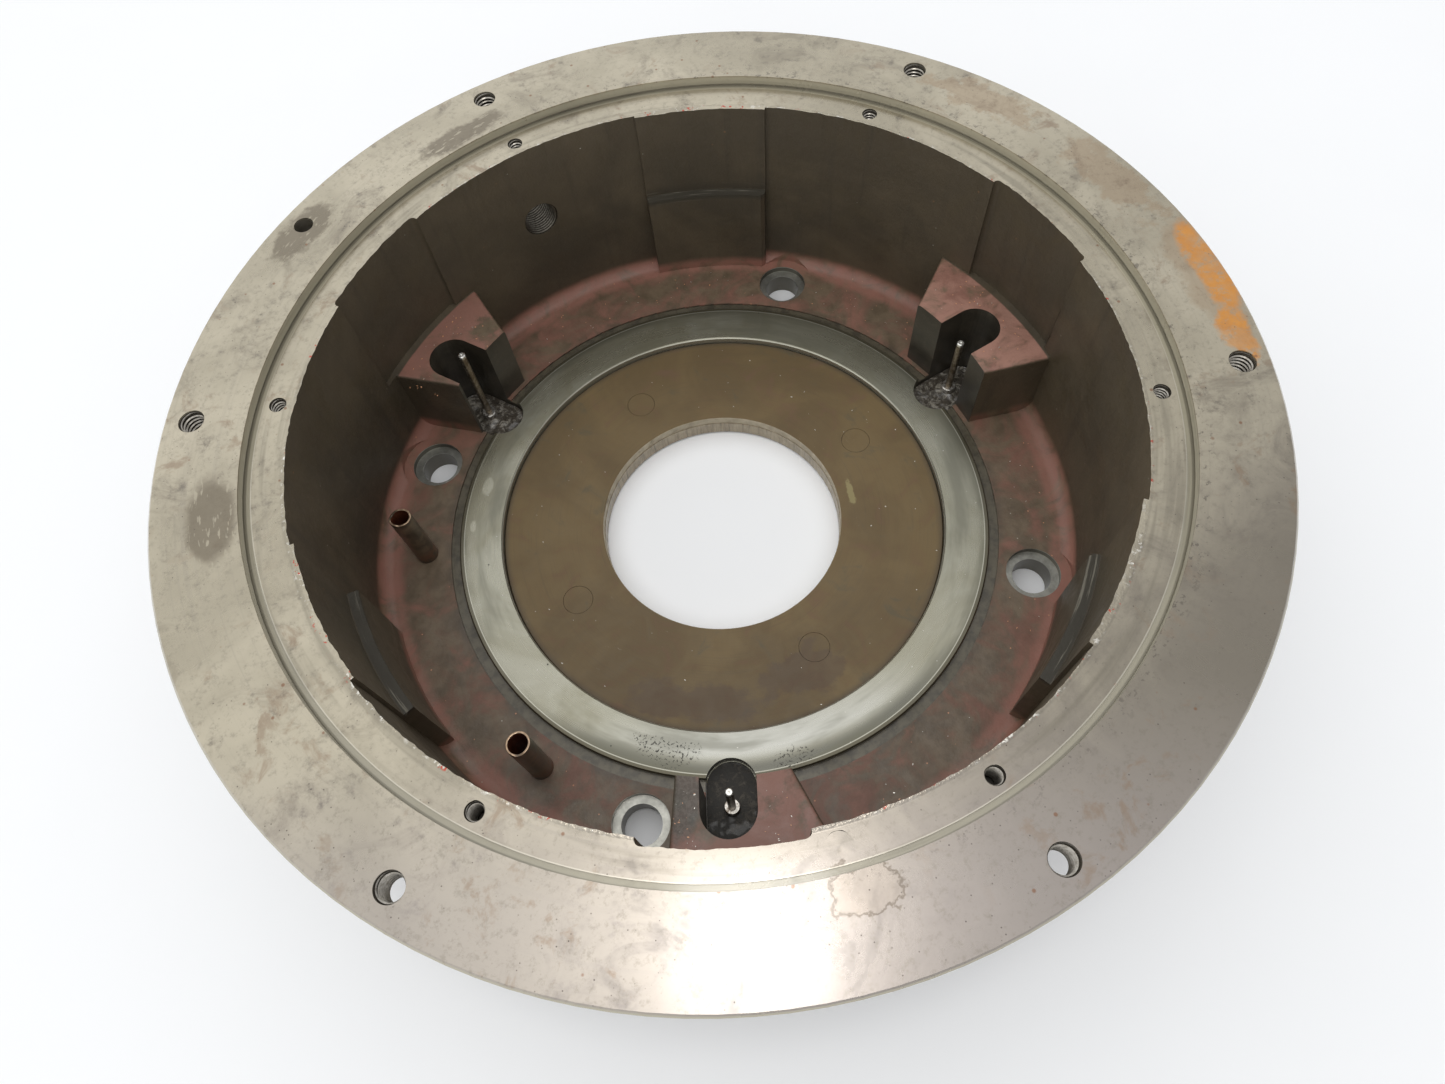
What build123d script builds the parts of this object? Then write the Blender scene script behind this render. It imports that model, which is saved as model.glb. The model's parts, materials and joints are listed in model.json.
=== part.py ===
"""Body of a three-jaw power lathe chuck: a cast bowl with a bolting flange.

Units are millimetres. The origin is the centre of the machined back face,
+Z points out of the open mouth, and +X points at the boss of the right-hand pin.
"""

import os

from build123d import *

os.makedirs("parts", exist_ok=True)

# ---------------------------------------------------------------- driving sizes
HEIGHT = 108.0          # back face to flange face
FLANGE_R = 198.4
FLANGE_T = 12.0
EDGE_CHAMFER = 1.0

BOWL_INNER_R = 153.2    # as-cast inside wall
BOWL_OUTER_R = 166.0    # under the flange
BOWL_BASE_R = 162.0     # at the back, the outside has casting draft
BACK_CORNER_R = 8.0
FLANGE_ROOT_R = 5.0
FLOOR_Z = 13.5
FLOOR_CORNER_R = 6.0
BORE_R = 53.2
BORE_BACK_CHAMFER = 1.0
BOWL_SEAM_ANGLE = -30.0

REGISTER_R = 167.4      # recess that centres the cover
REGISTER_DEPTH = 4.0
UNDERCUT_INNER_R = 165.0
UNDERCUT_OUTER_R = 168.0
UNDERCUT_DEPTH = 0.8    # below the ledge
UNDERCUT_RISE = 0.4     # up the recess wall

FLANGE_HOLE_COUNT = 6
FLANGE_HOLE_START = 30.0
FLANGE_HOLE_CIRCLE_R = 187.8
THREAD_3_8_R = 4.76     # 3/8-16 major radius
DOWEL_R = 3.97          # 5/16 in
DOWEL_ANGLE = 120.0

COVER_HOLE_CIRCLE_R = 159.6
COVER_HOLE_ANGLES = [32.9, 90.0, 147.1, 212.9, 270.0, 327.1]
THREAD_1_4_R = 3.17     # 1/4-20 major radius
COVER_HOLE_DEPTH = 14.0
LEDGE_PLUG_R = 4.2
LEDGE_PLUG_DEPTH = 8.0
LEDGE_PLUG_ANGLE = 252.0

MOUNT_HOLE_COUNT = 4
MOUNT_HOLE_CIRCLE_R = 137.0
MOUNT_HOLE_START = 45.0
MOUNT_HOLE_R = 8.15     # clears a 5/8 in screw
MOUNT_SEAT_R = 11.5     # spot face for its washer
MOUNT_SEAT_DEPTH = 3.3
WRENCH_SCALLOP_R = 16.0  # wall clearance above each screw

PAD_ANGLES = [60.0, 180.0, 300.0]
PAD_HALF_ANGLE = 10.7
PAD_BORED_R = 151.7
PAD_LOWER_R = 147.3
PAD_LEDGE_DROP = 47.6   # below the flange face
PAD_ROOT_R = 154.2      # inside the wall

PILOT_INNER_R = 98.4
PILOT_OUTER_R = 117.6
PILOT_TOP_Z = 15.5
PILOT_SEAT_Z = 8.5
PILOT_SCREW_COUNT = 6
PILOT_SCREW_START = 30.0
PILOT_SCREW_CIRCLE_R = 106.0
PILOT_SCREW_R = 2.41    # No. 10
PILOT_SCREW_TOP_Z = 12.7
PILOT_TAPPED_TOP_Z = 13.4
PILOT_HEAD_R = 3.95
PILOT_HEAD_TOP_Z = 4.8
PILOT_HEAD_BOTTOM_Z = 0.4  # the heads sit just below the back face
PILOT_SOCKET_R = 2.17
PILOT_SOCKET_DEPTH = 2.4
PILOT_EDGE_CHAMFER = 0.6
TURNED_GROOVE_R = 122.0  # lathe-turned band around the ring
TURNED_GROOVE_DEPTH = 1.0

PLATE_SEAT_Z = 8.0
PLATE_TOP_Z = 12.2
PLATE_GAP = 0.25
PLATE_EDGE_CHAMFER = 0.3
PLATE_SCREW_COUNT = 4
PLATE_SCREW_CIRCLE_R = 73.5
PLATE_SCREW_START = 0.0
PLATE_HEAD_R = 6.4
PLATE_HEAD_BOTTOM_Z = 9.6
PLATE_HEAD_TOP_Z = 12.15
PLATE_HEAD_CLEARANCE = 0.15
PLATE_SHANK_R = 3.0
PLATE_SHANK_BOTTOM_Z = 2.0

BOSS_TOP_Z = 51.2
BOSS_BOTTOM_Z = 12.5    # rooted in the floor
BOSS_INNER_R = 124.0    # turned inner faces
BOSS_WALL_R = 156.0     # each boss runs out into the wall here
BOSS_TOP_FILLET_R = 1.6
# name: (angle, width clockwise, flare clockwise, width anticlockwise, flare anticlockwise)
BOSSES = {
    "right": (0.0, 22.0, 19.0, 26.0, 32.0),
    "left": (120.0, 24.0, 28.0, 11.7, 16.0),
    "front": (240.0, 18.8, 5.0, 24.0, 26.0),
}
SLOT_HALF_WIDTH = 10.2
SLOT_INNER_R = 119.2    # centre of the round pocket in the pilot ring
SLOT_OUTER_R = 135.0    # centre of the round end in the boss
SLOT_FLOOR_Z = 9.5
WALL_RELIEF_START_R = 147.0
WALL_RELIEF_R = 155.6
WALL_RELIEF_HALF_ANGLE = 9.6
WALL_RELIEF_CORNER_R = 2.0

PIN_CIRCLE_R = 127.5
PIN_R = 1.55
PIN_BOTTOM_Z = 6.5
PIN_TOP_Z = {"right": 45.5, "left": 57.4, "front": 42.0}
PIN_TIP_CHAMFER = 0.4
PIN_CENTRE_R = 0.45     # turning centre in the tip
GUIDE_R = 3.25
GUIDE_TOP_Z = 14.0
GUIDE_BOTTOM_Z = 2.0
GUIDE_BORE_R = 1.61
GUIDE_BORE_BOTTOM_Z = 3.5
GUIDE_CHAMFER = 0.4

TUBE_CIRCLE_R = 132.5
TUBE_OUTER_R = 4.76     # 3/8 in
TUBE_INNER_R = 3.95
TUBE_SOCKET_Z = 4.0
# name: (angle, height of the cut end)
TUBES = {"oil_tube_short": (154.9, 48.5), "oil_tube_tall": (205.4, 52.5)}

PORT_ANGLE = 90.0
PORT_Z = 66.4
PORT_R = 8.3            # 3/8 in pipe thread
PORT_PAD_R = 16.0
PORT_PAD_FACE_R = 172.0
PORT_PAD_ROOT_R = 157.0
THREAD_MOUTH_CHAMFER = 0.4

LEDGE_Z = HEIGHT - REGISTER_DEPTH
PAD_LEDGE_Z = HEIGHT - PAD_LEDGE_DROP
FLANGE_UNDER_Z = HEIGHT - FLANGE_T


def sector(inner_r, outer_r, centre, half_angle):
    """Draw a ring sector as a face of the sketch being built."""
    start = centre - half_angle
    with BuildLine() as border:
        inside = CenterArc((0, 0), inner_r, start, 2 * half_angle)
        outside = CenterArc((0, 0), outer_r, start, 2 * half_angle)
        Line(inside @ 0, outside @ 0)
        Line(inside @ 1, outside @ 1)
    make_face(border.line)


def write(piece, name):
    """Label a finished piece and write it as its own STEP file."""
    piece.part.label = name
    export_step(piece.part, f"parts/{name}.step")


# ---------------------------------------------------------------------- housing
def add_bowl():
    """Turn the bowl, floor and flange from one half section."""
    # the section stands between two bosses, so that its seam crosses none
    outwards = Vector(1, 0, 0).rotate(Axis.Z, BOWL_SEAM_ANGLE)
    across = outwards.rotate(Axis.Z, -90)
    with BuildSketch(Plane(origin=(0, 0, 0), x_dir=outwards, z_dir=across)) as section:
        with BuildLine():
            Polyline(
                (BORE_R, 0),
                (BOWL_BASE_R, 0),
                (BOWL_OUTER_R, FLANGE_UNDER_Z),
                (FLANGE_R, FLANGE_UNDER_Z),
                (FLANGE_R, HEIGHT),
                (REGISTER_R, HEIGHT),
                (REGISTER_R, LEDGE_Z + UNDERCUT_RISE),
                (UNDERCUT_OUTER_R, LEDGE_Z + UNDERCUT_RISE),
                (UNDERCUT_OUTER_R, LEDGE_Z - UNDERCUT_DEPTH),
                (UNDERCUT_INNER_R, LEDGE_Z - UNDERCUT_DEPTH),
                (UNDERCUT_INNER_R, LEDGE_Z),
                (BOWL_INNER_R, LEDGE_Z),
                (BOWL_INNER_R, FLOOR_Z),
                (TURNED_GROOVE_R, FLOOR_Z),
                (TURNED_GROOVE_R, FLOOR_Z - TURNED_GROOVE_DEPTH),
                (PILOT_OUTER_R, FLOOR_Z - TURNED_GROOVE_DEPTH),
                (PILOT_OUTER_R, PILOT_SEAT_Z),
                (PILOT_INNER_R, PILOT_SEAT_Z),
                (PILOT_INNER_R, PLATE_SEAT_Z),
                (BORE_R, PLATE_SEAT_Z),
                close=True,
            )
        make_face()
        corners = section.vertices()
        fillet(corners.sort_by_distance((BOWL_INNER_R, FLOOR_Z))[0], FLOOR_CORNER_R)
        corners = section.vertices()
        fillet(corners.sort_by_distance((BOWL_BASE_R, 0))[0], BACK_CORNER_R)
        corners = section.vertices()
        fillet(corners.sort_by_distance((BOWL_OUTER_R, FLANGE_UNDER_Z))[0], FLANGE_ROOT_R)
        corners = section.vertices()
        chamfer(corners.sort_by_distance((BORE_R, 0))[0], BORE_BACK_CHAMFER)
        for rim_z in (FLANGE_UNDER_Z, HEIGHT):
            corners = section.vertices()
            chamfer(corners.sort_by_distance((FLANGE_R, rim_z))[0], EDGE_CHAMFER)
    revolve(section.sketch, axis=Axis.Z)


def add_pads():
    """Raise the three wall pads, each with a bored upper part over a ledge."""
    for angle in PAD_ANGLES:
        with BuildSketch(Plane.XY.offset(FLOOR_Z)) as outline:
            sector(PAD_LOWER_R, PAD_ROOT_R, angle, PAD_HALF_ANGLE)
        extrude(outline.sketch, amount=PAD_LEDGE_Z - FLOOR_Z)
        with BuildSketch(Plane.XY.offset(PAD_LEDGE_Z)) as outline:
            sector(PAD_BORED_R, PAD_ROOT_R, angle, PAD_HALF_ANGLE)
        extrude(outline.sketch, amount=LEDGE_Z - PAD_LEDGE_Z)


def tan_deg(angle):
    """Tangent of an angle in degrees."""
    slope = Vector(1, 0, 0).rotate(Axis.Z, angle)
    return slope.Y / slope.X


def add_bosses():
    """Raise the three flared blocks that stand on the floor against the wall."""
    run = BOSS_WALL_R - BOSS_INNER_R
    for angle, width_cw, flare_cw, width_ccw, flare_ccw in BOSSES.values():
        with BuildSketch(Plane.XY.rotated((0, 0, angle)).offset(BOSS_BOTTOM_Z)) as outline:
            # the sides run on past both arcs, which then trim them
            with BuildLine():
                Polyline(
                    (BOSS_INNER_R - run, run * tan_deg(flare_cw) - width_cw),
                    (BOSS_WALL_R + run, -2 * run * tan_deg(flare_cw) - width_cw),
                    (BOSS_WALL_R + run, 2 * run * tan_deg(flare_ccw) + width_ccw),
                    (BOSS_INNER_R - run, width_ccw - run * tan_deg(flare_ccw)),
                    close=True,
                )
            make_face()
            Circle(BOSS_WALL_R, mode=Mode.INTERSECT)
            Circle(BOSS_INNER_R, mode=Mode.SUBTRACT)
        extrude(outline.sketch, amount=BOSS_TOP_Z - BOSS_BOTTOM_Z)


def soften_bosses(casting):
    """Round the cast edges along the tops of the bosses' sides."""
    straight = casting.edges().filter_by(GeomType.LINE)
    top_edges = straight.filter_by_position(Axis.Z, BOSS_TOP_Z, BOSS_TOP_Z)
    fillet(top_edges, BOSS_TOP_FILLET_R)


def cut_wall_reliefs():
    """Widen the wall above each boss."""
    for angle, *_ in BOSSES.values():
        with BuildSketch(Plane.XY.offset(BOSS_TOP_Z)) as relief:
            sector(WALL_RELIEF_START_R, WALL_RELIEF_R, angle, WALL_RELIEF_HALF_ANGLE)
            far_corners = relief.vertices().group_by(SortBy.DISTANCE)[-1]
            fillet(far_corners, WALL_RELIEF_CORNER_R)
        extrude(relief.sketch, amount=HEIGHT, mode=Mode.SUBTRACT)


def cut_slots():
    """Mill the round-ended pin pocket through each boss and the ring."""
    length = SLOT_OUTER_R - SLOT_INNER_R + 2 * SLOT_HALF_WIDTH
    middle = (SLOT_OUTER_R + SLOT_INNER_R) / 2
    for angle, *_ in BOSSES.values():
        with BuildSketch(Plane.XY.rotated((0, 0, angle)).offset(SLOT_FLOOR_Z)) as outline:
            with Locations((middle, 0)):
                SlotOverall(length, 2 * SLOT_HALF_WIDTH)
        extrude(outline.sketch, amount=HEIGHT, mode=Mode.SUBTRACT)


def cut_floor_holes():
    """Cut the wrench scallops, head seats and clearance holes in the floor."""
    places = PolarLocations(MOUNT_HOLE_CIRCLE_R, MOUNT_HOLE_COUNT, MOUNT_HOLE_START)
    with BuildSketch(Plane.XY.offset(FLOOR_Z)) as outline:
        with places:
            Circle(WRENCH_SCALLOP_R)
    extrude(outline.sketch, amount=HEIGHT, mode=Mode.SUBTRACT)
    with BuildSketch(Plane.XY.offset(FLOOR_Z)) as outline:
        with places:
            Circle(MOUNT_SEAT_R)
    extrude(outline.sketch, amount=-MOUNT_SEAT_DEPTH, mode=Mode.SUBTRACT)
    with BuildSketch() as outline:
        with places:
            Circle(MOUNT_HOLE_R)
    extrude(outline.sketch, amount=FLOOR_Z, mode=Mode.SUBTRACT)


def tap(places, mouth_z, thread_r, depth):
    """Drill tapped holes down from a face to the thread's major radius, with broken mouths."""
    with BuildSketch(Plane.XY.offset(mouth_z)) as outline:
        with places:
            Circle(thread_r)
    extrude(outline.sketch, amount=-depth, mode=Mode.SUBTRACT)
    with Locations(Plane.XY.offset(mouth_z)):
        with places:
            Cone(
                thread_r,
                thread_r + THREAD_MOUTH_CHAMFER,
                THREAD_MOUTH_CHAMFER,
                align=(Align.CENTER, Align.CENTER, Align.MAX),
                mode=Mode.SUBTRACT,
            )


def cut_flange_holes():
    """Drill the flange's tapped holes, its dowel hole and the ledge's holes."""
    flange_places = PolarLocations(FLANGE_HOLE_CIRCLE_R, FLANGE_HOLE_COUNT, FLANGE_HOLE_START)
    tap(flange_places, HEIGHT, THREAD_3_8_R, FLANGE_T)
    with BuildSketch(Plane.XY.offset(HEIGHT)) as outline:
        with PolarLocations(FLANGE_HOLE_CIRCLE_R, 1, DOWEL_ANGLE):
            Circle(DOWEL_R)
    extrude(outline.sketch, amount=-FLANGE_T, mode=Mode.SUBTRACT)
    for angle in COVER_HOLE_ANGLES:
        cover_place = PolarLocations(COVER_HOLE_CIRCLE_R, 1, angle)
        tap(cover_place, LEDGE_Z, THREAD_1_4_R, COVER_HOLE_DEPTH)
    with BuildSketch(Plane.XY.offset(LEDGE_Z)) as outline:
        with PolarLocations(COVER_HOLE_CIRCLE_R, 1, LEDGE_PLUG_ANGLE):
            Circle(LEDGE_PLUG_R)
    extrude(outline.sketch, amount=-LEDGE_PLUG_DEPTH, mode=Mode.SUBTRACT)


def port_plane(radius):
    """Plane across the side port's axis, facing outwards."""
    outwards = Vector(1, 0, 0).rotate(Axis.Z, PORT_ANGLE)
    origin = outwards * radius + Vector(0, 0, PORT_Z)
    return Plane(origin=origin, x_dir=(0, 0, 1), z_dir=outwards)


def add_side_port():
    """Thicken the outside wall round the oil port and bore the port."""
    with BuildSketch(port_plane(PORT_PAD_ROOT_R)) as outline:
        Circle(PORT_PAD_R)
    extrude(outline.sketch, amount=PORT_PAD_FACE_R - PORT_PAD_ROOT_R)
    with BuildSketch(port_plane(PORT_PAD_FACE_R)) as outline:
        Circle(PORT_R)
    extrude(outline.sketch, amount=-(PORT_PAD_FACE_R - PAD_LOWER_R), mode=Mode.SUBTRACT)


def cut_fastener_seats():
    """Cut the housing's share of the screw, guide and tube holes."""
    with BuildSketch() as outline:
        with PolarLocations(PILOT_SCREW_CIRCLE_R, PILOT_SCREW_COUNT, PILOT_SCREW_START):
            Circle(PILOT_HEAD_R)
    extrude(outline.sketch, amount=PILOT_HEAD_TOP_Z, mode=Mode.SUBTRACT)
    with BuildSketch() as outline:
        with PolarLocations(PILOT_SCREW_CIRCLE_R, PILOT_SCREW_COUNT, PILOT_SCREW_START):
            Circle(PILOT_SCREW_R)
    extrude(outline.sketch, amount=PILOT_SEAT_Z, mode=Mode.SUBTRACT)
    with BuildSketch(Plane.XY.offset(PLATE_SHANK_BOTTOM_Z)) as outline:
        with PolarLocations(PLATE_SCREW_CIRCLE_R, PLATE_SCREW_COUNT, PLATE_SCREW_START):
            Circle(PLATE_SHANK_R)
    extrude(outline.sketch, amount=FLOOR_Z, mode=Mode.SUBTRACT)
    for angle, *_ in BOSSES.values():
        with BuildSketch(Plane.XY.offset(GUIDE_BOTTOM_Z)) as outline:
            with PolarLocations(PIN_CIRCLE_R, 1, angle):
                Circle(GUIDE_R)
        extrude(outline.sketch, amount=FLOOR_Z, mode=Mode.SUBTRACT)
    for angle, _ in TUBES.values():
        with BuildSketch(Plane.XY.offset(TUBE_SOCKET_Z)) as outline:
            with PolarLocations(TUBE_CIRCLE_R, 1, angle):
                Circle(TUBE_OUTER_R)
        extrude(outline.sketch, amount=FLOOR_Z, mode=Mode.SUBTRACT)
        with BuildSketch() as outline:
            with PolarLocations(TUBE_CIRCLE_R, 1, angle):
                Circle(TUBE_INNER_R)
        extrude(outline.sketch, amount=FLOOR_Z, mode=Mode.SUBTRACT)


with BuildPart() as housing:
    add_bowl()
    add_pads()
    add_bosses()
    soften_bosses(housing)
    cut_wall_reliefs()
    cut_slots()
    cut_floor_holes()
    cut_flange_holes()
    add_side_port()
    cut_fastener_seats()
write(housing, "housing")

# ------------------------------------------------- pilot ring and its cap screws
with BuildPart() as pilot_ring:
    with BuildSketch(Plane.XY.offset(PILOT_SEAT_Z)):
        Circle(PILOT_OUTER_R)
        Circle(PILOT_INNER_R, mode=Mode.SUBTRACT)
    extrude(amount=PILOT_TOP_Z - PILOT_SEAT_Z)
    top_edges = pilot_ring.faces().sort_by(Axis.Z)[-1].edges()
    chamfer(top_edges, PILOT_EDGE_CHAMFER)
    cut_slots()
    with BuildSketch(Plane.XY.offset(PILOT_SEAT_Z)):
        with PolarLocations(PILOT_SCREW_CIRCLE_R, PILOT_SCREW_COUNT, PILOT_SCREW_START):
            Circle(PILOT_SCREW_R)
    extrude(amount=PILOT_TAPPED_TOP_Z - PILOT_SEAT_Z, mode=Mode.SUBTRACT)
write(pilot_ring, "pilot_ring")

with BuildPart() as pilot_ring_screws:
    with BuildSketch(Plane.XY.offset(PILOT_HEAD_BOTTOM_Z)):
        with PolarLocations(PILOT_SCREW_CIRCLE_R, PILOT_SCREW_COUNT, PILOT_SCREW_START):
            Circle(PILOT_HEAD_R)
    extrude(amount=PILOT_HEAD_TOP_Z - PILOT_HEAD_BOTTOM_Z)
    with BuildSketch(Plane.XY.offset(PILOT_HEAD_TOP_Z)):
        with PolarLocations(PILOT_SCREW_CIRCLE_R, PILOT_SCREW_COUNT, PILOT_SCREW_START):
            Circle(PILOT_SCREW_R)
    extrude(amount=PILOT_SCREW_TOP_Z - PILOT_HEAD_TOP_Z)
    with BuildSketch(Plane.XY.offset(PILOT_HEAD_BOTTOM_Z)):
        with PolarLocations(PILOT_SCREW_CIRCLE_R, PILOT_SCREW_COUNT, PILOT_SCREW_START):
            RegularPolygon(PILOT_SOCKET_R, 6)
    extrude(amount=PILOT_SOCKET_DEPTH, mode=Mode.SUBTRACT)
write(pilot_ring_screws, "pilot_ring_screws")

# ---------------------------------------------- thrust plate and its flush screws
with BuildPart() as thrust_plate:
    with BuildSketch(Plane.XY.offset(PLATE_SEAT_Z)):
        Circle(PILOT_INNER_R - PLATE_GAP)
        Circle(BORE_R + PLATE_GAP, mode=Mode.SUBTRACT)
    extrude(amount=PLATE_TOP_Z - PLATE_SEAT_Z)
    chamfer(thrust_plate.faces().sort_by(Axis.Z)[-1].edges(), PLATE_EDGE_CHAMFER)
    with BuildSketch(Plane.XY.offset(PLATE_TOP_Z)):
        with PolarLocations(PLATE_SCREW_CIRCLE_R, PLATE_SCREW_COUNT, PLATE_SCREW_START):
            Circle(PLATE_HEAD_R + PLATE_HEAD_CLEARANCE)
    extrude(amount=PLATE_HEAD_BOTTOM_Z - PLATE_TOP_Z, mode=Mode.SUBTRACT)
    with BuildSketch(Plane.XY.offset(PLATE_SEAT_Z)):
        with PolarLocations(PLATE_SCREW_CIRCLE_R, PLATE_SCREW_COUNT, PLATE_SCREW_START):
            Circle(PLATE_SHANK_R)
    extrude(amount=PLATE_TOP_Z - PLATE_SEAT_Z, mode=Mode.SUBTRACT)
write(thrust_plate, "thrust_plate")

with BuildPart() as thrust_plate_screws:
    with BuildSketch(Plane.XY.offset(PLATE_HEAD_BOTTOM_Z)):
        with PolarLocations(PLATE_SCREW_CIRCLE_R, PLATE_SCREW_COUNT, PLATE_SCREW_START):
            Circle(PLATE_HEAD_R)
    extrude(amount=PLATE_HEAD_TOP_Z - PLATE_HEAD_BOTTOM_Z)
    with BuildSketch(Plane.XY.offset(PLATE_SHANK_BOTTOM_Z)):
        with PolarLocations(PLATE_SCREW_CIRCLE_R, PLATE_SCREW_COUNT, PLATE_SCREW_START):
            Circle(PLATE_SHANK_R)
    extrude(amount=PLATE_HEAD_BOTTOM_Z - PLATE_SHANK_BOTTOM_Z)
write(thrust_plate_screws, "thrust_plate_screws")

# --------------------------------------------------- release pins and their guides
for side, (boss_angle, *_) in BOSSES.items():
    with BuildPart() as guide:
        with BuildSketch(Plane.XY.offset(GUIDE_BOTTOM_Z)):
            with PolarLocations(PIN_CIRCLE_R, 1, boss_angle):
                Circle(GUIDE_R)
        extrude(amount=GUIDE_TOP_Z - GUIDE_BOTTOM_Z)
        chamfer(guide.faces().sort_by(Axis.Z)[-1].edges(), GUIDE_CHAMFER)
        with BuildSketch(Plane.XY.offset(GUIDE_BORE_BOTTOM_Z)):
            with PolarLocations(PIN_CIRCLE_R, 1, boss_angle):
                Circle(GUIDE_BORE_R)
        extrude(amount=GUIDE_TOP_Z - GUIDE_BORE_BOTTOM_Z, mode=Mode.SUBTRACT)
    write(guide, f"pin_guide_{side}")

    with BuildPart() as pin:
        with BuildSketch(Plane.XY.offset(PIN_BOTTOM_Z)):
            with PolarLocations(PIN_CIRCLE_R, 1, boss_angle):
                Circle(PIN_R)
        extrude(amount=PIN_TOP_Z[side] - PIN_BOTTOM_Z)
        chamfer(pin.faces().sort_by(Axis.Z)[-1].edges(), PIN_TIP_CHAMFER)
        with Locations(Plane.XY.offset(PIN_TOP_Z[side])):
            with PolarLocations(PIN_CIRCLE_R, 1, boss_angle):
                Cone(
                    0,
                    PIN_CENTRE_R,
                    PIN_CENTRE_R,
                    align=(Align.CENTER, Align.CENTER, Align.MAX),
                    mode=Mode.SUBTRACT,
                )
    write(pin, f"release_pin_{side}")

# --------------------------------------------------------------------- oil tubes
for tube_name, (tube_angle, tube_top_z) in TUBES.items():
    with BuildPart() as tube:
        with BuildSketch(Plane.XY.offset(TUBE_SOCKET_Z)):
            with PolarLocations(TUBE_CIRCLE_R, 1, tube_angle):
                Circle(TUBE_OUTER_R)
                Circle(TUBE_INNER_R, mode=Mode.SUBTRACT)
        extrude(amount=tube_top_z - TUBE_SOCKET_Z)
    write(tube, tube_name)

# -------------------------------------------------------------------- ledge plug
with BuildPart() as ledge_plug:
    with BuildSketch(Plane.XY.offset(LEDGE_Z)):
        with PolarLocations(COVER_HOLE_CIRCLE_R, 1, LEDGE_PLUG_ANGLE):
            Circle(LEDGE_PLUG_R)
    extrude(amount=-LEDGE_PLUG_DEPTH)
write(ledge_plug, "ledge_plug")
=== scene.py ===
"""Looks of a stripped power chuck body: casting, machined faces, threads, tubes and grease.

Everything is in metres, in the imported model's frame: the chuck's axis is Z, its back face
is z = 0, and the bowl's mouth faces up.
"""

import functools
import json
import math
import random

import bmesh
import bpy
import numpy as np
from mathutils import Matrix, Vector, noise


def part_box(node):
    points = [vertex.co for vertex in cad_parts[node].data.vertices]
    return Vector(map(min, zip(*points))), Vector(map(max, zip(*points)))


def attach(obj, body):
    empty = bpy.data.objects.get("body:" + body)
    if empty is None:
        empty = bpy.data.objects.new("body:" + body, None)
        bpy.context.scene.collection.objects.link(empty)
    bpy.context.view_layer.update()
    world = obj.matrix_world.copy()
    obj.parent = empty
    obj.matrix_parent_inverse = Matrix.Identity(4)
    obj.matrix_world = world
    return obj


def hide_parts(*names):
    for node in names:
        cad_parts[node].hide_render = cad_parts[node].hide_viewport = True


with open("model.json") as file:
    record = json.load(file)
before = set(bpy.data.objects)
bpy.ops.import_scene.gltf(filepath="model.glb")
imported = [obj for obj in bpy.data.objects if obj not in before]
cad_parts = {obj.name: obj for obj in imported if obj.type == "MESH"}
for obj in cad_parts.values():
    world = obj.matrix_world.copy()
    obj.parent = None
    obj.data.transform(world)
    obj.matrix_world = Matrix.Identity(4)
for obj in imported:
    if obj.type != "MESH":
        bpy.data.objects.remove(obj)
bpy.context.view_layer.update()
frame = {"nodes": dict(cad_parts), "record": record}

MM = 0.001
BODY = "body"
MOUNTS = {mount["name"]: mount for mount in frame["record"]["mounts"]}

# ---------------- places, from the frame
TOP_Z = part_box("housing")[1].z
LEDGE_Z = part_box("ledge_plug")[1].z
RING_TOP_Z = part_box("pilot_ring")[1].z
RING_OUTER_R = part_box("pilot_ring")[1].x
PLATE_TOP_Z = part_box("thrust_plate")[1].z
FLANGE_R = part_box("housing")[1].x
REGISTER_R = MOUNTS["cover_register"]["dims"]["r_mm"] * MM
BORE_R = MOUNTS["spindle_bore"]["dims"]["r_mm"] * MM

# places that the frame doesn't state, repeated from the CAD
FLOOR_Z = 13.5 * MM
RING_INNER_R = 98.4 * MM
SLOT_FLOOR_Z = 9.5 * MM
SLOT_HALF_WIDTH = 10.2 * MM
SLOT_INNER_R = 119.2 * MM
SLOT_OUTER_R = 135.0 * MM
BOSS_TOP_Z = 51.2 * MM
BOSS_INNER_R = 124.0 * MM
BOWL_INNER_R = 153.2 * MM
PAD_LOWER_R = 147.3 * MM
PAD_LEDGE_Z = 60.4 * MM
FLANGE_UNDER_Z = TOP_Z - 12 * MM
FLOOR_SEAT_R = 11.5 * MM
FLOOR_SEAT_Z = FLOOR_Z - 3.3 * MM
BOSS_ANGLES = {"right": 0, "left": 120, "front": 240}
PORT_FACE_R = 172.0 * MM
WALL_MIDDLE_R = 157.0 * MM        # inside the bowl's wall, between its two skins
LEDGE_HOLES_R = 166.0 * MM        # just outside the ledge's tapped holes
FLANGE_ROOT_R = 178.0 * MM        # just outside the fillet under the flange
INCH = 25.4 * MM
UP = Vector((0, 0, 1))


def polar(radius, angle, z=0.0):
    """The point at a radius, an angle in degrees and a height."""
    turn = math.radians(angle)
    return Vector((radius * math.cos(turn), radius * math.sin(turn), z))


def node_centre(node):
    """The middle of a CAD node's box, at the height of its top."""
    low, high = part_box(node)
    return Vector(((low.x + high.x) / 2, (low.y + high.y) / 2, high.z))


MOUNTING_CIRCLE_R = MOUNTS["spindle_bolts"]["dims"]["pcd_mm"] / 2 * MM
MOUNTING_HOLES = [polar(MOUNTING_CIRCLE_R, angle) for angle in (45, 135, 225, 315)]
TUBES = ("oil_tube_short", "oil_tube_tall")
FLOOR_HOLES = MOUNTING_HOLES + [node_centre(tube) for tube in TUBES]


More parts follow.
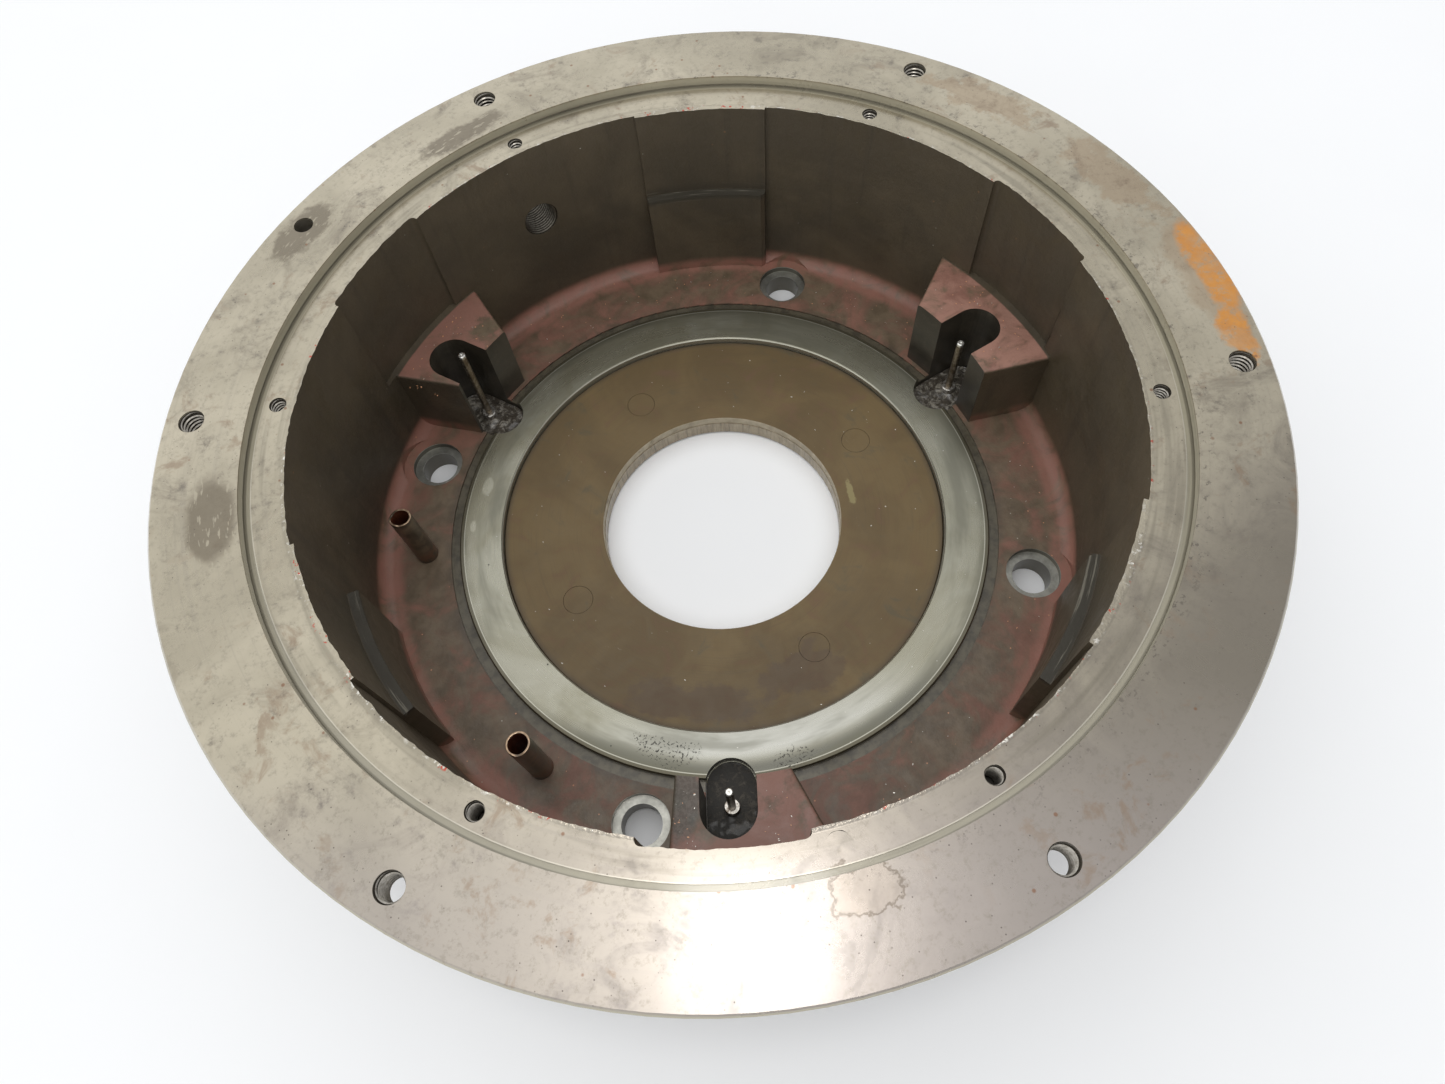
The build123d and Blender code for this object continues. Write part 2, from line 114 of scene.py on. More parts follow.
# ---------------- camera
def add_camera():
    """Stand the camera over the front rim, as a person leaning over the bench would."""
    elevation, roll, heading = math.radians(63.52), math.radians(-6.504), math.radians(-26.08)
    data = bpy.data.cameras.new("camera")
    data.sensor_width = 36
    data.lens = 22.83
    data.clip_start = 0.01
    camera = bpy.data.objects.new("camera", data)
    bpy.context.scene.collection.objects.link(camera)
    turn = Matrix.Rotation(heading, 4, "Z") @ Matrix.Rotation(math.pi / 2 - elevation, 4, "X")
    turn = turn @ Matrix.Rotation(roll, 4, "Z")
    camera.matrix_world = Matrix.Translation((-0.08597, -0.17370, 0.37635)) @ turn
    bpy.context.scene.camera = camera


# ---------------- stage and lighting
def add_lamp():
    """Hang one small soft lamp high over the bench and turn it towards the chuck."""
    data = bpy.data.lights.new("ceiling", "AREA")
    data.size, data.energy, data.color = 0.24, 2.0, (1.0, 0.99, 0.98)
    lamp = bpy.data.objects.new("ceiling", data)
    bpy.context.scene.collection.objects.link(lamp)
    lamp.location = (-0.075, -0.10, 1.35)
    lamp.rotation_euler = (-lamp.location).to_track_quat("-Z", "Y").to_euler()


def add_room():
    """An even, bright room, dimmer towards the right of the bench."""
    world = bpy.data.worlds.new("room")
    world.use_nodes = True
    tree = world.node_tree
    background = tree.nodes["Background"]
    background.inputs["Strength"].default_value = 1.18
    place = tree.nodes.new("ShaderNodeTexCoord")
    towards = tree.nodes.new("ShaderNodeVectorMath")
    towards.operation = "DOT_PRODUCT"
    towards.inputs[1].default_value = (0.86, -0.50, 0.0)
    across = tree.nodes.new("ShaderNodeMapRange")
    across.inputs["From Min"].default_value = 0.05
    across.inputs["From Max"].default_value = 0.75
    shade = tree.nodes.new("ShaderNodeMix")
    shade.data_type = "RGBA"
    shade.inputs[6].default_value = (0.94, 0.955, 0.97, 1)
    shade.inputs[7].default_value = (0.46, 0.465, 0.48, 1)
    tree.links.new(place.outputs["Generated"], towards.inputs[0])
    tree.links.new(towards.outputs["Value"], across.inputs["Value"])
    tree.links.new(across.outputs["Result"], shade.inputs[0])
    tree.links.new(shade.outputs[2], background.inputs["Color"])
    bpy.context.scene.world = world


def add_stage():
    """A pale table, a bright room and a soft lamp overhead."""
    half, z = 3.0, -0.2 * MM
    corners = [(-half, -half, z), (half, -half, z), (half, half, z), (-half, half, z)]
    mesh = bpy.data.meshes.new("table")
    mesh.from_pydata(corners, [], [(0, 1, 2, 3)])
    table = bpy.data.objects.new("table", mesh)
    bpy.context.scene.collection.objects.link(table)
    shader = Shader("table_paint")
    cloud = shader.noise(90 * MM, detail=3)
    paint = shader.mix(cloud, (0.93, 0.932, 0.935), (0.955, 0.956, 0.957))
    # painted light: the table is paler near the middle, under the chuck's bore, to make up for the shade
    # of the bowl around it
    painted_light_under_bore = shader.ramp(shader.radius, 150 * MM, 60 * MM)
    shader.base = shader.mix(painted_light_under_bore, paint, (0.995, 0.995, 0.995))
    shader.roughness(0.55)
    mesh.materials.append(shader.done())
    add_room()
    add_lamp()
    scene = bpy.context.scene
    scene.view_settings.view_transform = "Standard"
    scene.view_settings.exposure = 0.0


# ---------------- shader building
class Shader:
    """One procedural material, built a node at a time from the object's own coordinates."""

    def __init__(self, name):
        self.material = bpy.data.materials.new(name)
        self.material.use_nodes = True
        self.tree = self.material.node_tree
        self.surface = self.tree.nodes["Principled BSDF"]
        self.place = self.node("ShaderNodeTexCoord").outputs["Object"]
        apart = self.node("ShaderNodeSeparateXYZ", Vector=self.place)
        self.x, self.y, self.z = apart.outputs
        self.radius = self.length(self.x, self.y)
        self.angle = self.maths("ARCTAN2", self.y, self.x)
        self.base = None
        self.height = None

    def node(self, kind, settings=(), **inputs):
        """Add a node, set its properties and feed its inputs with sockets or constants."""
        made = self.tree.nodes.new(kind)
        for key, value in dict(settings).items():
            setattr(made, key, value)
        for key, value in inputs.items():
            self.feed(made.inputs[key.replace("_", " ")], value)
        return made

    def feed(self, socket, value):
        """Link a socket, or set a constant."""
        if isinstance(value, bpy.types.NodeSocket):
            self.tree.links.new(value, socket)
        elif hasattr(value, "__len__") and len(value) == 3 and socket.type == "RGBA":
            socket.default_value = (*value, 1)
        else:
            socket.default_value = value

    def maths(self, operation, first, second=0.0):
        """One step of arithmetic."""
        made = self.node("ShaderNodeMath", {"operation": operation})
        self.feed(made.inputs[0], first)
        self.feed(made.inputs[1], second)
        return made.outputs[0]

    def plus(self, first, second):
        return self.maths("ADD", first, second)

    def minus(self, first, second):
        return self.maths("SUBTRACT", first, second)

    def times(self, first, second):
        return self.maths("MULTIPLY", first, second)

    def length(self, first, second):
        """The length of a vector from its two parts."""
        return self.maths("SQRT", self.plus(self.times(first, first), self.times(second, second)))

    def ramp(self, value, low, high):
        """0 below low, 1 above high, and smooth between; low may be the larger."""
        made = self.node("ShaderNodeMapRange", {"interpolation_type": "SMOOTHSTEP"}, Value=value,
                         From_Min=low, From_Max=high)
        return made.outputs["Result"]

    def out(self, low, high):
        """A ramp along the radius."""
        return self.ramp(self.radius, low, high)

    def up(self, low, high):
        """A ramp along the height."""
        return self.ramp(self.z, low, high)

    def both(self, *masks):
        """The product of masks."""
        return functools.reduce(self.times, masks)

    def either(self, *masks):
        """The largest of masks."""
        return functools.reduce(functools.partial(self.maths, "MAXIMUM"), masks)

    def flip(self, mask):
        """One minus a mask."""
        return self.minus(1.0, mask)

    def towards(self, east, north):
        """How far a point lies along the level direction with these x and y parts."""
        return self.plus(self.times(self.x, east), self.times(self.y, north))

    def offset(self, centre):
        """A point's x and y from a centre."""
        return self.minus(self.x, centre.x), self.minus(self.y, centre.y)

    def mix(self, factor, first, second):
        """Blend two colours."""
        made = self.node("ShaderNodeMix", {"data_type": "RGBA"})
        self.feed(made.inputs[0], factor)
        self.feed(made.inputs[6], first)
        self.feed(made.inputs[7], second)
        return made.outputs[2]

    def lay(self, colour, mask, share=1.0):
        """Lay a colour over the base where a mask says, at a share of its strength."""
        self.base = self.mix(mask if share == 1.0 else self.times(mask, share), self.base, colour)

    def blend(self, factor, first, second):
        """Blend two numbers."""
        made = self.node("ShaderNodeMix")
        self.feed(made.inputs[0], factor)
        self.feed(made.inputs[2], first)
        self.feed(made.inputs[3], second)
        return made.outputs[0]

    def noise(self, size, detail=4.0, roughness=0.55, distortion=0.0, place=None, shift=0.0):
        """Cloudy noise with features of about a size in metres."""
        where = place or self.place
        if shift:
            moved = self.node("ShaderNodeVectorMath", {"operation": "ADD"})
            self.feed(moved.inputs[0], where)
            self.feed(moved.inputs[1], (shift, shift * 0.7, shift * 1.3))
            where = moved.outputs[0]
        made = self.node("ShaderNodeTexNoise", Vector=where, Scale=1 / size, Detail=detail,
                         Roughness=roughness, Distortion=distortion)
        return made.outputs["Fac"]

    def specks(self, size, share, spread=0.16):
        """Round specks scattered on a share of the cells of a size."""
        cells = self.node("ShaderNodeTexVoronoi", Vector=self.place, Scale=1 / size)
        chosen = self.node("ShaderNodeSeparateColor", Color=cells.outputs["Color"]).outputs[0]
        return self.both(self.ramp(cells.outputs["Distance"], spread, spread * 0.5),
                         self.ramp(chosen, 1 - share, 1 - share + 0.01))

    def streaks(self, x, y, z, detail, roughness):
        """Noise over coordinates of its own, for marks drawn out one way."""
        where = self.node("ShaderNodeCombineXYZ", X=x, Y=y, Z=z).outputs[0]
        return self.noise(1.0, detail, roughness, place=where)

    def turned(self, fine, along=0.35, detail=3, roughness=0.7):
        """Streaks around the axis, spaced about a size in metres."""
        return self.streaks(self.times(self.plus(self.radius, self.z), 1 / fine),
                            self.times(self.maths("DIVIDE", self.x, self.radius), 1 / along),
                            self.times(self.maths("DIVIDE", self.y, self.radius), 1 / along),
                            detail, roughness)

    def upright(self, across, along, detail, roughness):
        """Streaks that run up and down, in counts to the metre across and along them."""
        return self.streaks(self.times(self.x, across), self.times(self.y, across),
                            self.times(self.z, along), detail, roughness)

    def blots(self, *rows):
        """Ragged patches: radius, angle, radial and round half sizes, raggedness, grain; in mm."""
        masks = []
        for radius, angle, across, along, ragged, grain in rows:
            cosine, sine = math.cos(math.radians(angle)), math.sin(math.radians(angle))
            across, along = across * MM, along * MM
            dx, dy = self.offset(polar(radius * MM, angle))
            out = self.plus(self.times(dx, cosine / across), self.times(dy, sine / across))
            side = self.minus(self.times(dy, cosine / along), self.times(dx, sine / along))
            rough = self.times(self.minus(self.noise(grain * MM, 5, 0.65), 0.5), 4 * ragged)
            masks.append(self.ramp(self.plus(self.length(out, side), rough), 1.15, 0.75))
        return self.either(*masks)

    def relief(self, amount, value):
        """Add to the surface's relief, in metres."""
        part = self.times(value, amount)
        self.height = part if self.height is None else self.plus(self.height, part)

    def roughness(self, value):
        self.feed(self.surface.inputs["Roughness"], value)

    def metal(self, value):
        self.feed(self.surface.inputs["Metallic"], value)

    def set(self, **constants):
        """Constants on the shader's own sockets."""
        for key, value in constants.items():
            self.surface.inputs[key.replace("_", " ")].default_value = value

    def radial_sheen(self, amount):
        """Stretch highlights across turning marks."""
        self.set(Anisotropic=amount)
        tangent = self.node("ShaderNodeTangent", {"direction_type": "RADIAL", "axis": "Z"})
        self.feed(self.surface.inputs["Tangent"], tangent.outputs[0])

    def done(self):
        """Link the base colour and the relief, and hand the material over."""
        self.feed(self.surface.inputs["Base Color"], self.base)
        if self.height is not None:
            bump = self.node("ShaderNodeBump", Height=self.height, Distance=1.0, Strength=1.0)
            self.feed(self.surface.inputs["Normal"], bump.outputs[0])
        return self.material


# ---------------- materials
def machined_iron():
    """The flange, the recess, the ledge and the back: turned, handled, oily and stained."""
    s = Shader("machined_iron")
    pale, mid, brown = (0.5, 0.445, 0.335), (0.36, 0.318, 0.232), (0.19, 0.157, 0.113)
    clouds = s.noise(95 * MM, 5, 0.6, 0.6)
    smears = s.noise(26 * MM, 6, 0.68, 1.2, shift=0.3)
    mottle = s.noise(5 * MM, 4, 0.7, shift=0.9)
    lines = s.turned(1.6 * MM, along=0.9)
    s.base = s.mix(s.ramp(clouds, 0.36, 0.66), mid, pale)
    s.lay(brown, s.ramp(smears, 0.5, 0.74), 0.6)
    s.lay((0.17, 0.145, 0.11), s.both(s.ramp(mottle, 0.52, 0.78), s.ramp(smears, 0.4, 0.6)))
    s.lay((0.26, 0.23, 0.19), s.ramp(lines, 0.5, 0.75), 0.22)
    # painted shade: the flange is darker and browner towards the front, where it reflects the dim side of
    # the room; and a painted highlight tint: pinker at the front left, round the lamp's highlight
    painted_shade_reach = s.plus(s.towards(0.17, -0.98), s.times(smears, 60 * MM))
    s.lay((0.185, 0.16, 0.127), s.ramp(painted_shade_reach, 138 * MM, 205 * MM), 0.85)
    s.lay((0.36, 0.318, 0.295), s.ramp(s.towards(-0.47, -0.88), 110 * MM, 175 * MM), 0.65)
    s.lay((0.19, 0.165, 0.125), s.ramp(s.noise(2.6 * MM, 4, 0.75, shift=0.35), 0.5, 0.72), 0.42)
    bloom = s.both(s.ramp(s.noise(13 * MM, 5, 0.65, 0.5, shift=0.77), 0.56, 0.68),
                   s.ramp(clouds, 0.4, 0.6))
    s.lay((0.24, 0.16, 0.098), bloom, 0.6)
    # the dark oval stain, its neighbours and the pale wiped streaks through them
    stain = s.blots((176.5, 163.5, 9, 18, 0.18, 20), (186, 121, 8, 16, 0.5, 14),
                    (174, 96, 6, 22, 0.5, 14))
    wiped = s.ramp(s.turned(1.4 * MM, 0.03, 2, 0.5), 0.58, 0.66)
    stain = s.both(stain, s.flip(s.times(wiped, 0.7)))
    s.lay((0.15, 0.12, 0.078), stain, 0.8)
    blotch = s.blots((172.5, -106.5, 6.5, 10.5, 0.55, 9))
    outline = s.both(s.ramp(blotch, 0.02, 0.3), s.ramp(blotch, 0.85, 0.45))
    s.lay((0.34, 0.28, 0.22), blotch, 0.35)
    s.lay((0.16, 0.13, 0.1), outline, 0.85)
    # rust along the rim beside the right-hand holes: a brown halo and an orange middle
    halo = s.blots((190, -18, 10, 32, 0.4, 16), (187, -1, 10, 26, 0.7, 12), (186, 20, 8, 24, 0.8, 10))
    s.lay((0.29, 0.165, 0.07), halo, 0.36)
    rust = s.blots((192.5, -17, 6.5, 24, 0.3, 16), (189.5, -26.5, 6, 15, 0.45, 12))
    rusty = s.mix(s.noise(5 * MM, 4, 0.7), (0.4, 0.135, 0.006), (0.66, 0.27, 0.01))
    rust = s.both(rust, s.ramp(s.noise(4.5 * MM, 5, 0.75, shift=0.2), 0.27, 0.52),
                  s.blend(s.ramp(s.noise(15 * MM, 4, 0.6, shift=0.44), 0.36, 0.56), 0.7, 1.0))
    s.lay(rusty, rust, 0.95)
    # small rust freckles and dark pits
    s.lay((0.2, 0.085, 0.035), s.specks(6 * MM, 0.16, 0.13), 0.75)
    pits = s.both(s.specks(1.7 * MM, 0.3, 0.17), s.ramp(smears, 0.36, 0.62))
    s.lay((0.06, 0.045, 0.035), pits, 0.85)
    # crumbs of grime along the recess, mostly on the right
    beside = s.both(s.out(REGISTER_R + 8 * MM, REGISTER_R + 0.4 * MM),
                    s.out(REGISTER_R - 0.2 * MM, REGISTER_R))
    grime = s.both(beside, s.ramp(s.noise(2.4 * MM, 4, 0.7, shift=0.66), 0.57, 0.63),
                   s.blend(s.ramp(s.x, -80 * MM, 120 * MM), 0.35, 1.0))
    s.lay((0.085, 0.07, 0.055), grime, 0.65)
    # the recess: a matte wall, painted shade in the groove at its corner, a painted highlight on the
    # groove's inner edge, and oily streaks beyond
    in_recess = s.both(s.out(REGISTER_R - 2.6 * MM, REGISTER_R - 2.3 * MM),
                       s.up(TOP_Z - 0.2 * MM, TOP_Z - 0.8 * MM))
    s.lay((0.43, 0.395, 0.295), in_recess, 0.85)
    corner = s.both(s.out(REGISTER_R - 0.9 * MM, REGISTER_R - 0.5 * MM),
                    s.up(LEDGE_Z + 0.5 * MM, LEDGE_Z + 0.1 * MM))
    s.lay((0.09, 0.078, 0.055), corner, 0.45)
    lip = s.both(s.out(REGISTER_R - 2.9 * MM, REGISTER_R - 2.7 * MM),
                 s.out(REGISTER_R - 2.3 * MM, REGISTER_R - 2.5 * MM),
                 s.up(LEDGE_Z - 0.5 * MM, LEDGE_Z - 0.1 * MM))
    s.lay((0.7, 0.66, 0.55), lip, 0.45)
    oily_ledge = s.both(s.up(TOP_Z - 1 * MM, TOP_Z - 2 * MM),
                        s.ramp(s.turned(5 * MM, 0.5, 3, 0.6), 0.5, 0.7))
    s.lay((0.16, 0.14, 0.1), oily_ledge, 0.45)
    # bright broken metal and crumbs of red paint on the ledge's ragged inner edge
    edge = s.both(s.out(BOWL_INNER_R + 1.5 * MM, BOWL_INNER_R + 0.3 * MM),
                  s.up(LEDGE_Z - 0.5 * MM, LEDGE_Z - 0.2 * MM))
    chips = s.both(edge, s.ramp(s.noise(2.2 * MM, 3, 0.7), 0.54, 0.62), s.ramp(smears, 0.4, 0.6))
    s.lay((0.72, 0.69, 0.62), chips)
    paint = s.both(edge, s.ramp(s.noise(3.5 * MM, 3, 0.7, shift=0.5), 0.62, 0.66))
    s.lay((0.45, 0.06, 0.03), paint)
    # painted shade inside the flange's tapped holes
    tapped = s.both(s.out(REGISTER_R + 3 * MM, REGISTER_R + 3.5 * MM),
                    s.out(FLANGE_R - 3 * MM, FLANGE_R - 3.5 * MM),
                    s.up(TOP_Z - 0.3 * MM, TOP_Z - 0.8 * MM),
                    s.up(FLANGE_UNDER_Z + 0.1 * MM, FLANGE_UNDER_Z + 0.3 * MM))
    s.lay((0.06, 0.05, 0.038), tapped, 0.8)
    rough = s.blend(s.ramp(clouds, 0.35, 0.7), 0.26, 0.32)
    rough = s.plus(rough, s.times(s.ramp(smears, 0.5, 0.75), 0.12))
    s.roughness(s.plus(rough, s.times(rust, 0.35)))
    s.metal(s.times(s.flip(s.either(rust, s.times(in_recess, 0.7))), 0.75))
    s.radial_sheen(0.3)
    s.set(Coat_Weight=0.65, Coat_Roughness=0.11)
    s.relief(0.016 * MM, mottle)
    s.relief(0.25 * MM, s.both(edge, s.noise(1.6 * MM, 2, 0.7)))
    return s.done()


def cast_inside():
    """The bowl's as-cast inside: oily black-brown wall, red-brown primer on the floor."""
    s = Shader("cast_inside")
    clouds = s.noise(60 * MM, 5, 0.6, 0.4)
    patches = s.noise(17 * MM, 6, 0.66, 0.8, shift=0.4)
    sand = s.noise(1.1 * MM, 2, 0.7)
    lumps = s.noise(5 * MM, 2, 0.6)
    s.base = s.mix(s.ramp(clouds, 0.35, 0.68), (0.054, 0.041, 0.024), (0.098, 0.074, 0.043))
    s.lay((0.07, 0.055, 0.03), s.ramp(patches, 0.5, 0.8), 0.55)
    upper = s.up(45 * MM, 100 * MM)
    s.lay((0.108, 0.084, 0.05), upper, 0.3)
    streaks = s.ramp(s.upright(170, 9, 4, 0.6), 0.52, 0.75)
    s.lay((0.02, 0.017, 0.013), streaks, 0.35)
    # dark oil on the pads' ledges, with pale turned streaks that are painted highlights
    ledge_oil_and_highlights = s.both(s.up(PAD_LEDGE_Z - 3 * MM, PAD_LEDGE_Z - 0.5 * MM),
                       s.up(PAD_LEDGE_Z + 6 * MM, PAD_LEDGE_Z + 1 * MM),
                       s.out(BOWL_INNER_R - 1.2 * MM, BOWL_INNER_R - 2.2 * MM))
    s.lay(s.mix(s.ramp(s.turned(1.6 * MM, along=0.25), 0.56, 0.66), (0.034, 0.03, 0.02),
                (0.2, 0.185, 0.145)), ledge_oil_and_highlights, 0.8)
    # primer: dull red where it survives, olive-brown where oil and wear have taken it
    primer = s.mix(s.ramp(s.noise(9 * MM, 5, 0.6), 0.35, 0.7), (0.168, 0.08, 0.052),
                   (0.24, 0.112, 0.076))
    worn = s.mix(s.ramp(s.noise(7 * MM, 5, 0.6, shift=0.8), 0.3, 0.7), (0.1, 0.07, 0.04),
                 (0.165, 0.118, 0.072))
    wear = s.ramp(s.plus(patches, s.times(clouds, 0.5)), 0.58, 0.84)
    wall, s.base = s.base, s.mix(wear, primer, worn)
    # the sheltered foot of the wall and the tops of the bosses kept the brightest primer
    foot = s.both(s.out(PAD_LOWER_R - 5.5 * MM, PAD_LOWER_R - 1 * MM), s.ramp(patches, 0.72, 0.45))
    s.lay((0.33, 0.14, 0.102), foot, 0.6)
    boss_tops = s.up(BOSS_TOP_Z - 3 * MM, BOSS_TOP_Z - 1 * MM)
    faded = s.ramp(s.noise(11 * MM, 5, 0.65, shift=0.15), 0.42, 0.58)
    s.lay((0.255, 0.122, 0.088), s.both(boss_tops, faded))
    right_boss = s.both(boss_tops, s.ramp(s.x, 108 * MM, 125 * MM), s.ramp(patches, 0.66, 0.42))
    s.lay((0.36, 0.185, 0.135), right_boss)
    soot = s.both(s.out(126 * MM, 122 * MM), s.ramp(patches, 0.4, 0.62))
    s.lay((0.055, 0.04, 0.028), soot, 0.5)
    prong = s.both(s.up(BOSS_TOP_Z - 8 * MM, BOSS_TOP_Z - 1 * MM), s.blots((134, 233.2, 14, 6.5, 0.3, 8)))
    s.lay(s.mix(s.ramp(sand, 0.4, 0.6), (0.07, 0.064, 0.05), (0.115, 0.106, 0.085)), prong, 0.85)
    # the primer covers the floor, the bosses and their tops; the wall is bare
    near_boss = s.maths("COSINE", s.times(s.angle, 3.0))
    ground = s.either(s.up(FLOOR_Z + 7.5 * MM, FLOOR_Z + 2.5 * MM),
                      s.both(s.up(BOSS_TOP_Z - 0.9 * MM, BOSS_TOP_Z - 0.1 * MM),
                             s.up(BOSS_TOP_Z + 3.0 * MM, BOSS_TOP_Z + 0.6 * MM),
                             s.ramp(near_boss, 0.05, 0.15),
                             s.out(BOWL_INNER_R - 0.4 * MM, BOWL_INNER_R - 1.2 * MM)))
    s.base = s.mix(ground, wall, s.base)
    crumbs = s.both(s.specks(3.2 * MM, 0.13, 0.13), ground)
    s.lay((0.55, 0.26, 0.14), crumbs)
    dust = s.both(s.specks(4.3 * MM, 0.1, 0.08), s.ramp(clouds, 0.35, 0.6))
    s.lay((0.5, 0.47, 0.4), dust)
    flakes = s.both(s.specks(5.0 * MM, 0.1, 0.12), upper)
    s.lay((0.24, 0.12, 0.05), flakes, 0.7)
    wet = s.both(s.ramp(patches, 0.42, 0.66), s.flip(ledge_oil_and_highlights))
    s.roughness(s.plus(s.blend(wet, 0.58, 0.38), s.times(sand, 0.12)))
    s.set(Specular_IOR_Level=0.55, Coat_Weight=0.15, Coat_Roughness=0.32)
    s.relief(0.1 * MM, sand)
    s.relief(0.22 * MM, lumps)
    return s.done()


def oily_machined():
    """Milled and turned faces inside the bowl: charcoal brown, with worn olive corners."""
    s = Shader("oily_machined")
    clouds = s.noise(22 * MM, 5, 0.6, 0.5)
    mottle = s.noise(4 * MM, 5, 0.7)
    lines = s.turned(0.5 * MM)
    s.base = s.mix(s.ramp(clouds, 0.35, 0.7), (0.042, 0.036, 0.027), (0.088, 0.073, 0.052))
    s.lay((0.12, 0.1, 0.07), s.ramp(mottle, 0.5, 0.75), 0.4)
    # the spot faces about the mounting holes: bright flats and rims, and painted shade on their walls
    seats = s.either(*(s.ramp(s.length(*s.offset(hole)), FLOOR_SEAT_R + 2.2 * MM,
                              FLOOR_SEAT_R + 0.2 * MM) for hole in MOUNTING_HOLES))
    bright = s.mix(s.ramp(mottle, 0.38, 0.66), (0.3, 0.295, 0.26), (0.42, 0.41, 0.365))
    flat = s.both(s.up(FLOOR_SEAT_Z + 0.5 * MM, FLOOR_SEAT_Z + 0.2 * MM),
                  s.up(FLOOR_SEAT_Z - 0.5 * MM, FLOOR_SEAT_Z - 0.2 * MM))
    rimmed = s.up(FLOOR_Z - 0.6 * MM, FLOOR_Z - 0.3 * MM)
    shaded_walls = s.mix(clouds, (0.095, 0.088, 0.07), (0.16, 0.15, 0.125))
    s.lay(s.mix(s.either(flat, rimmed), shaded_walls, bright), seats)
    # the narrow turned land round the ring is olive and worn
    band = s.both(s.up(SLOT_FLOOR_Z + 2.4 * MM, SLOT_FLOOR_Z + 2.8 * MM),
                  s.out(BOSS_INNER_R + 0.6 * MM, BOSS_INNER_R))
    on_floor = s.up(FLOOR_Z, FLOOR_Z - 0.5 * MM)
    s.lay(s.mix(s.ramp(mottle, 0.35, 0.6), (0.066, 0.056, 0.038), (0.115, 0.098, 0.064)),
          s.both(band, on_floor))
    # the bore's wall is scraped to a lighter, patchy grey tan with upright streaks
    scraped = s.both(s.out(BORE_R + 0.5 * MM, BORE_R + 0.3 * MM),
                     s.ramp(s.upright(700, 60, 3, 0.7), 0.1, 0.62))
    s.lay(s.mix(mottle, (0.2, 0.155, 0.09), (0.5, 0.42, 0.3)), scraped)
    s.metal(s.plus(0.25, s.times(seats, 0.55)))
    s.roughness(s.blend(s.ramp(clouds, 0.4, 0.65), 0.3, 0.48))
    s.set(Specular_IOR_Level=0.6, Coat_Weight=0.25, Coat_Roughness=0.22)
    s.relief(0.03 * MM, lines)
    s.relief(0.05 * MM, mottle)
    return s.done()


def cast_outside():
    """The bowl's outside: the same iron with its skin on, dark and oily, rusty in patches."""
    s = Shader("cast_outside")
    clouds = s.noise(70 * MM, 5, 0.6, 0.5)
    patches = s.noise(14 * MM, 6, 0.68, 1.0, shift=0.2)
    sand = s.noise(1.2 * MM, 2, 0.7)
    lumps = s.noise(6 * MM, 2, 0.6)
    s.base = s.mix(s.ramp(clouds, 0.35, 0.68), (0.085, 0.07, 0.055), (0.155, 0.125, 0.098))
    s.lay((0.16, 0.075, 0.05), s.ramp(patches, 0.52, 0.72), 0.7)
    s.lay((0.045, 0.038, 0.032), s.ramp(patches, 0.4, 0.3), 0.6)
    worn = s.both(s.specks(3.5 * MM, 0.18, 0.16), s.ramp(clouds, 0.4, 0.6))
    s.lay((0.3, 0.27, 0.23), worn)
    s.roughness(s.plus(s.blend(s.ramp(patches, 0.4, 0.7), 0.42, 0.62), s.times(sand, 0.1)))
    s.set(Specular_IOR_Level=0.5, Coat_Weight=0.08, Coat_Roughness=0.35)
    s.relief(0.14 * MM, sand)
    s.relief(0.3 * MM, lumps)
    return s.done()


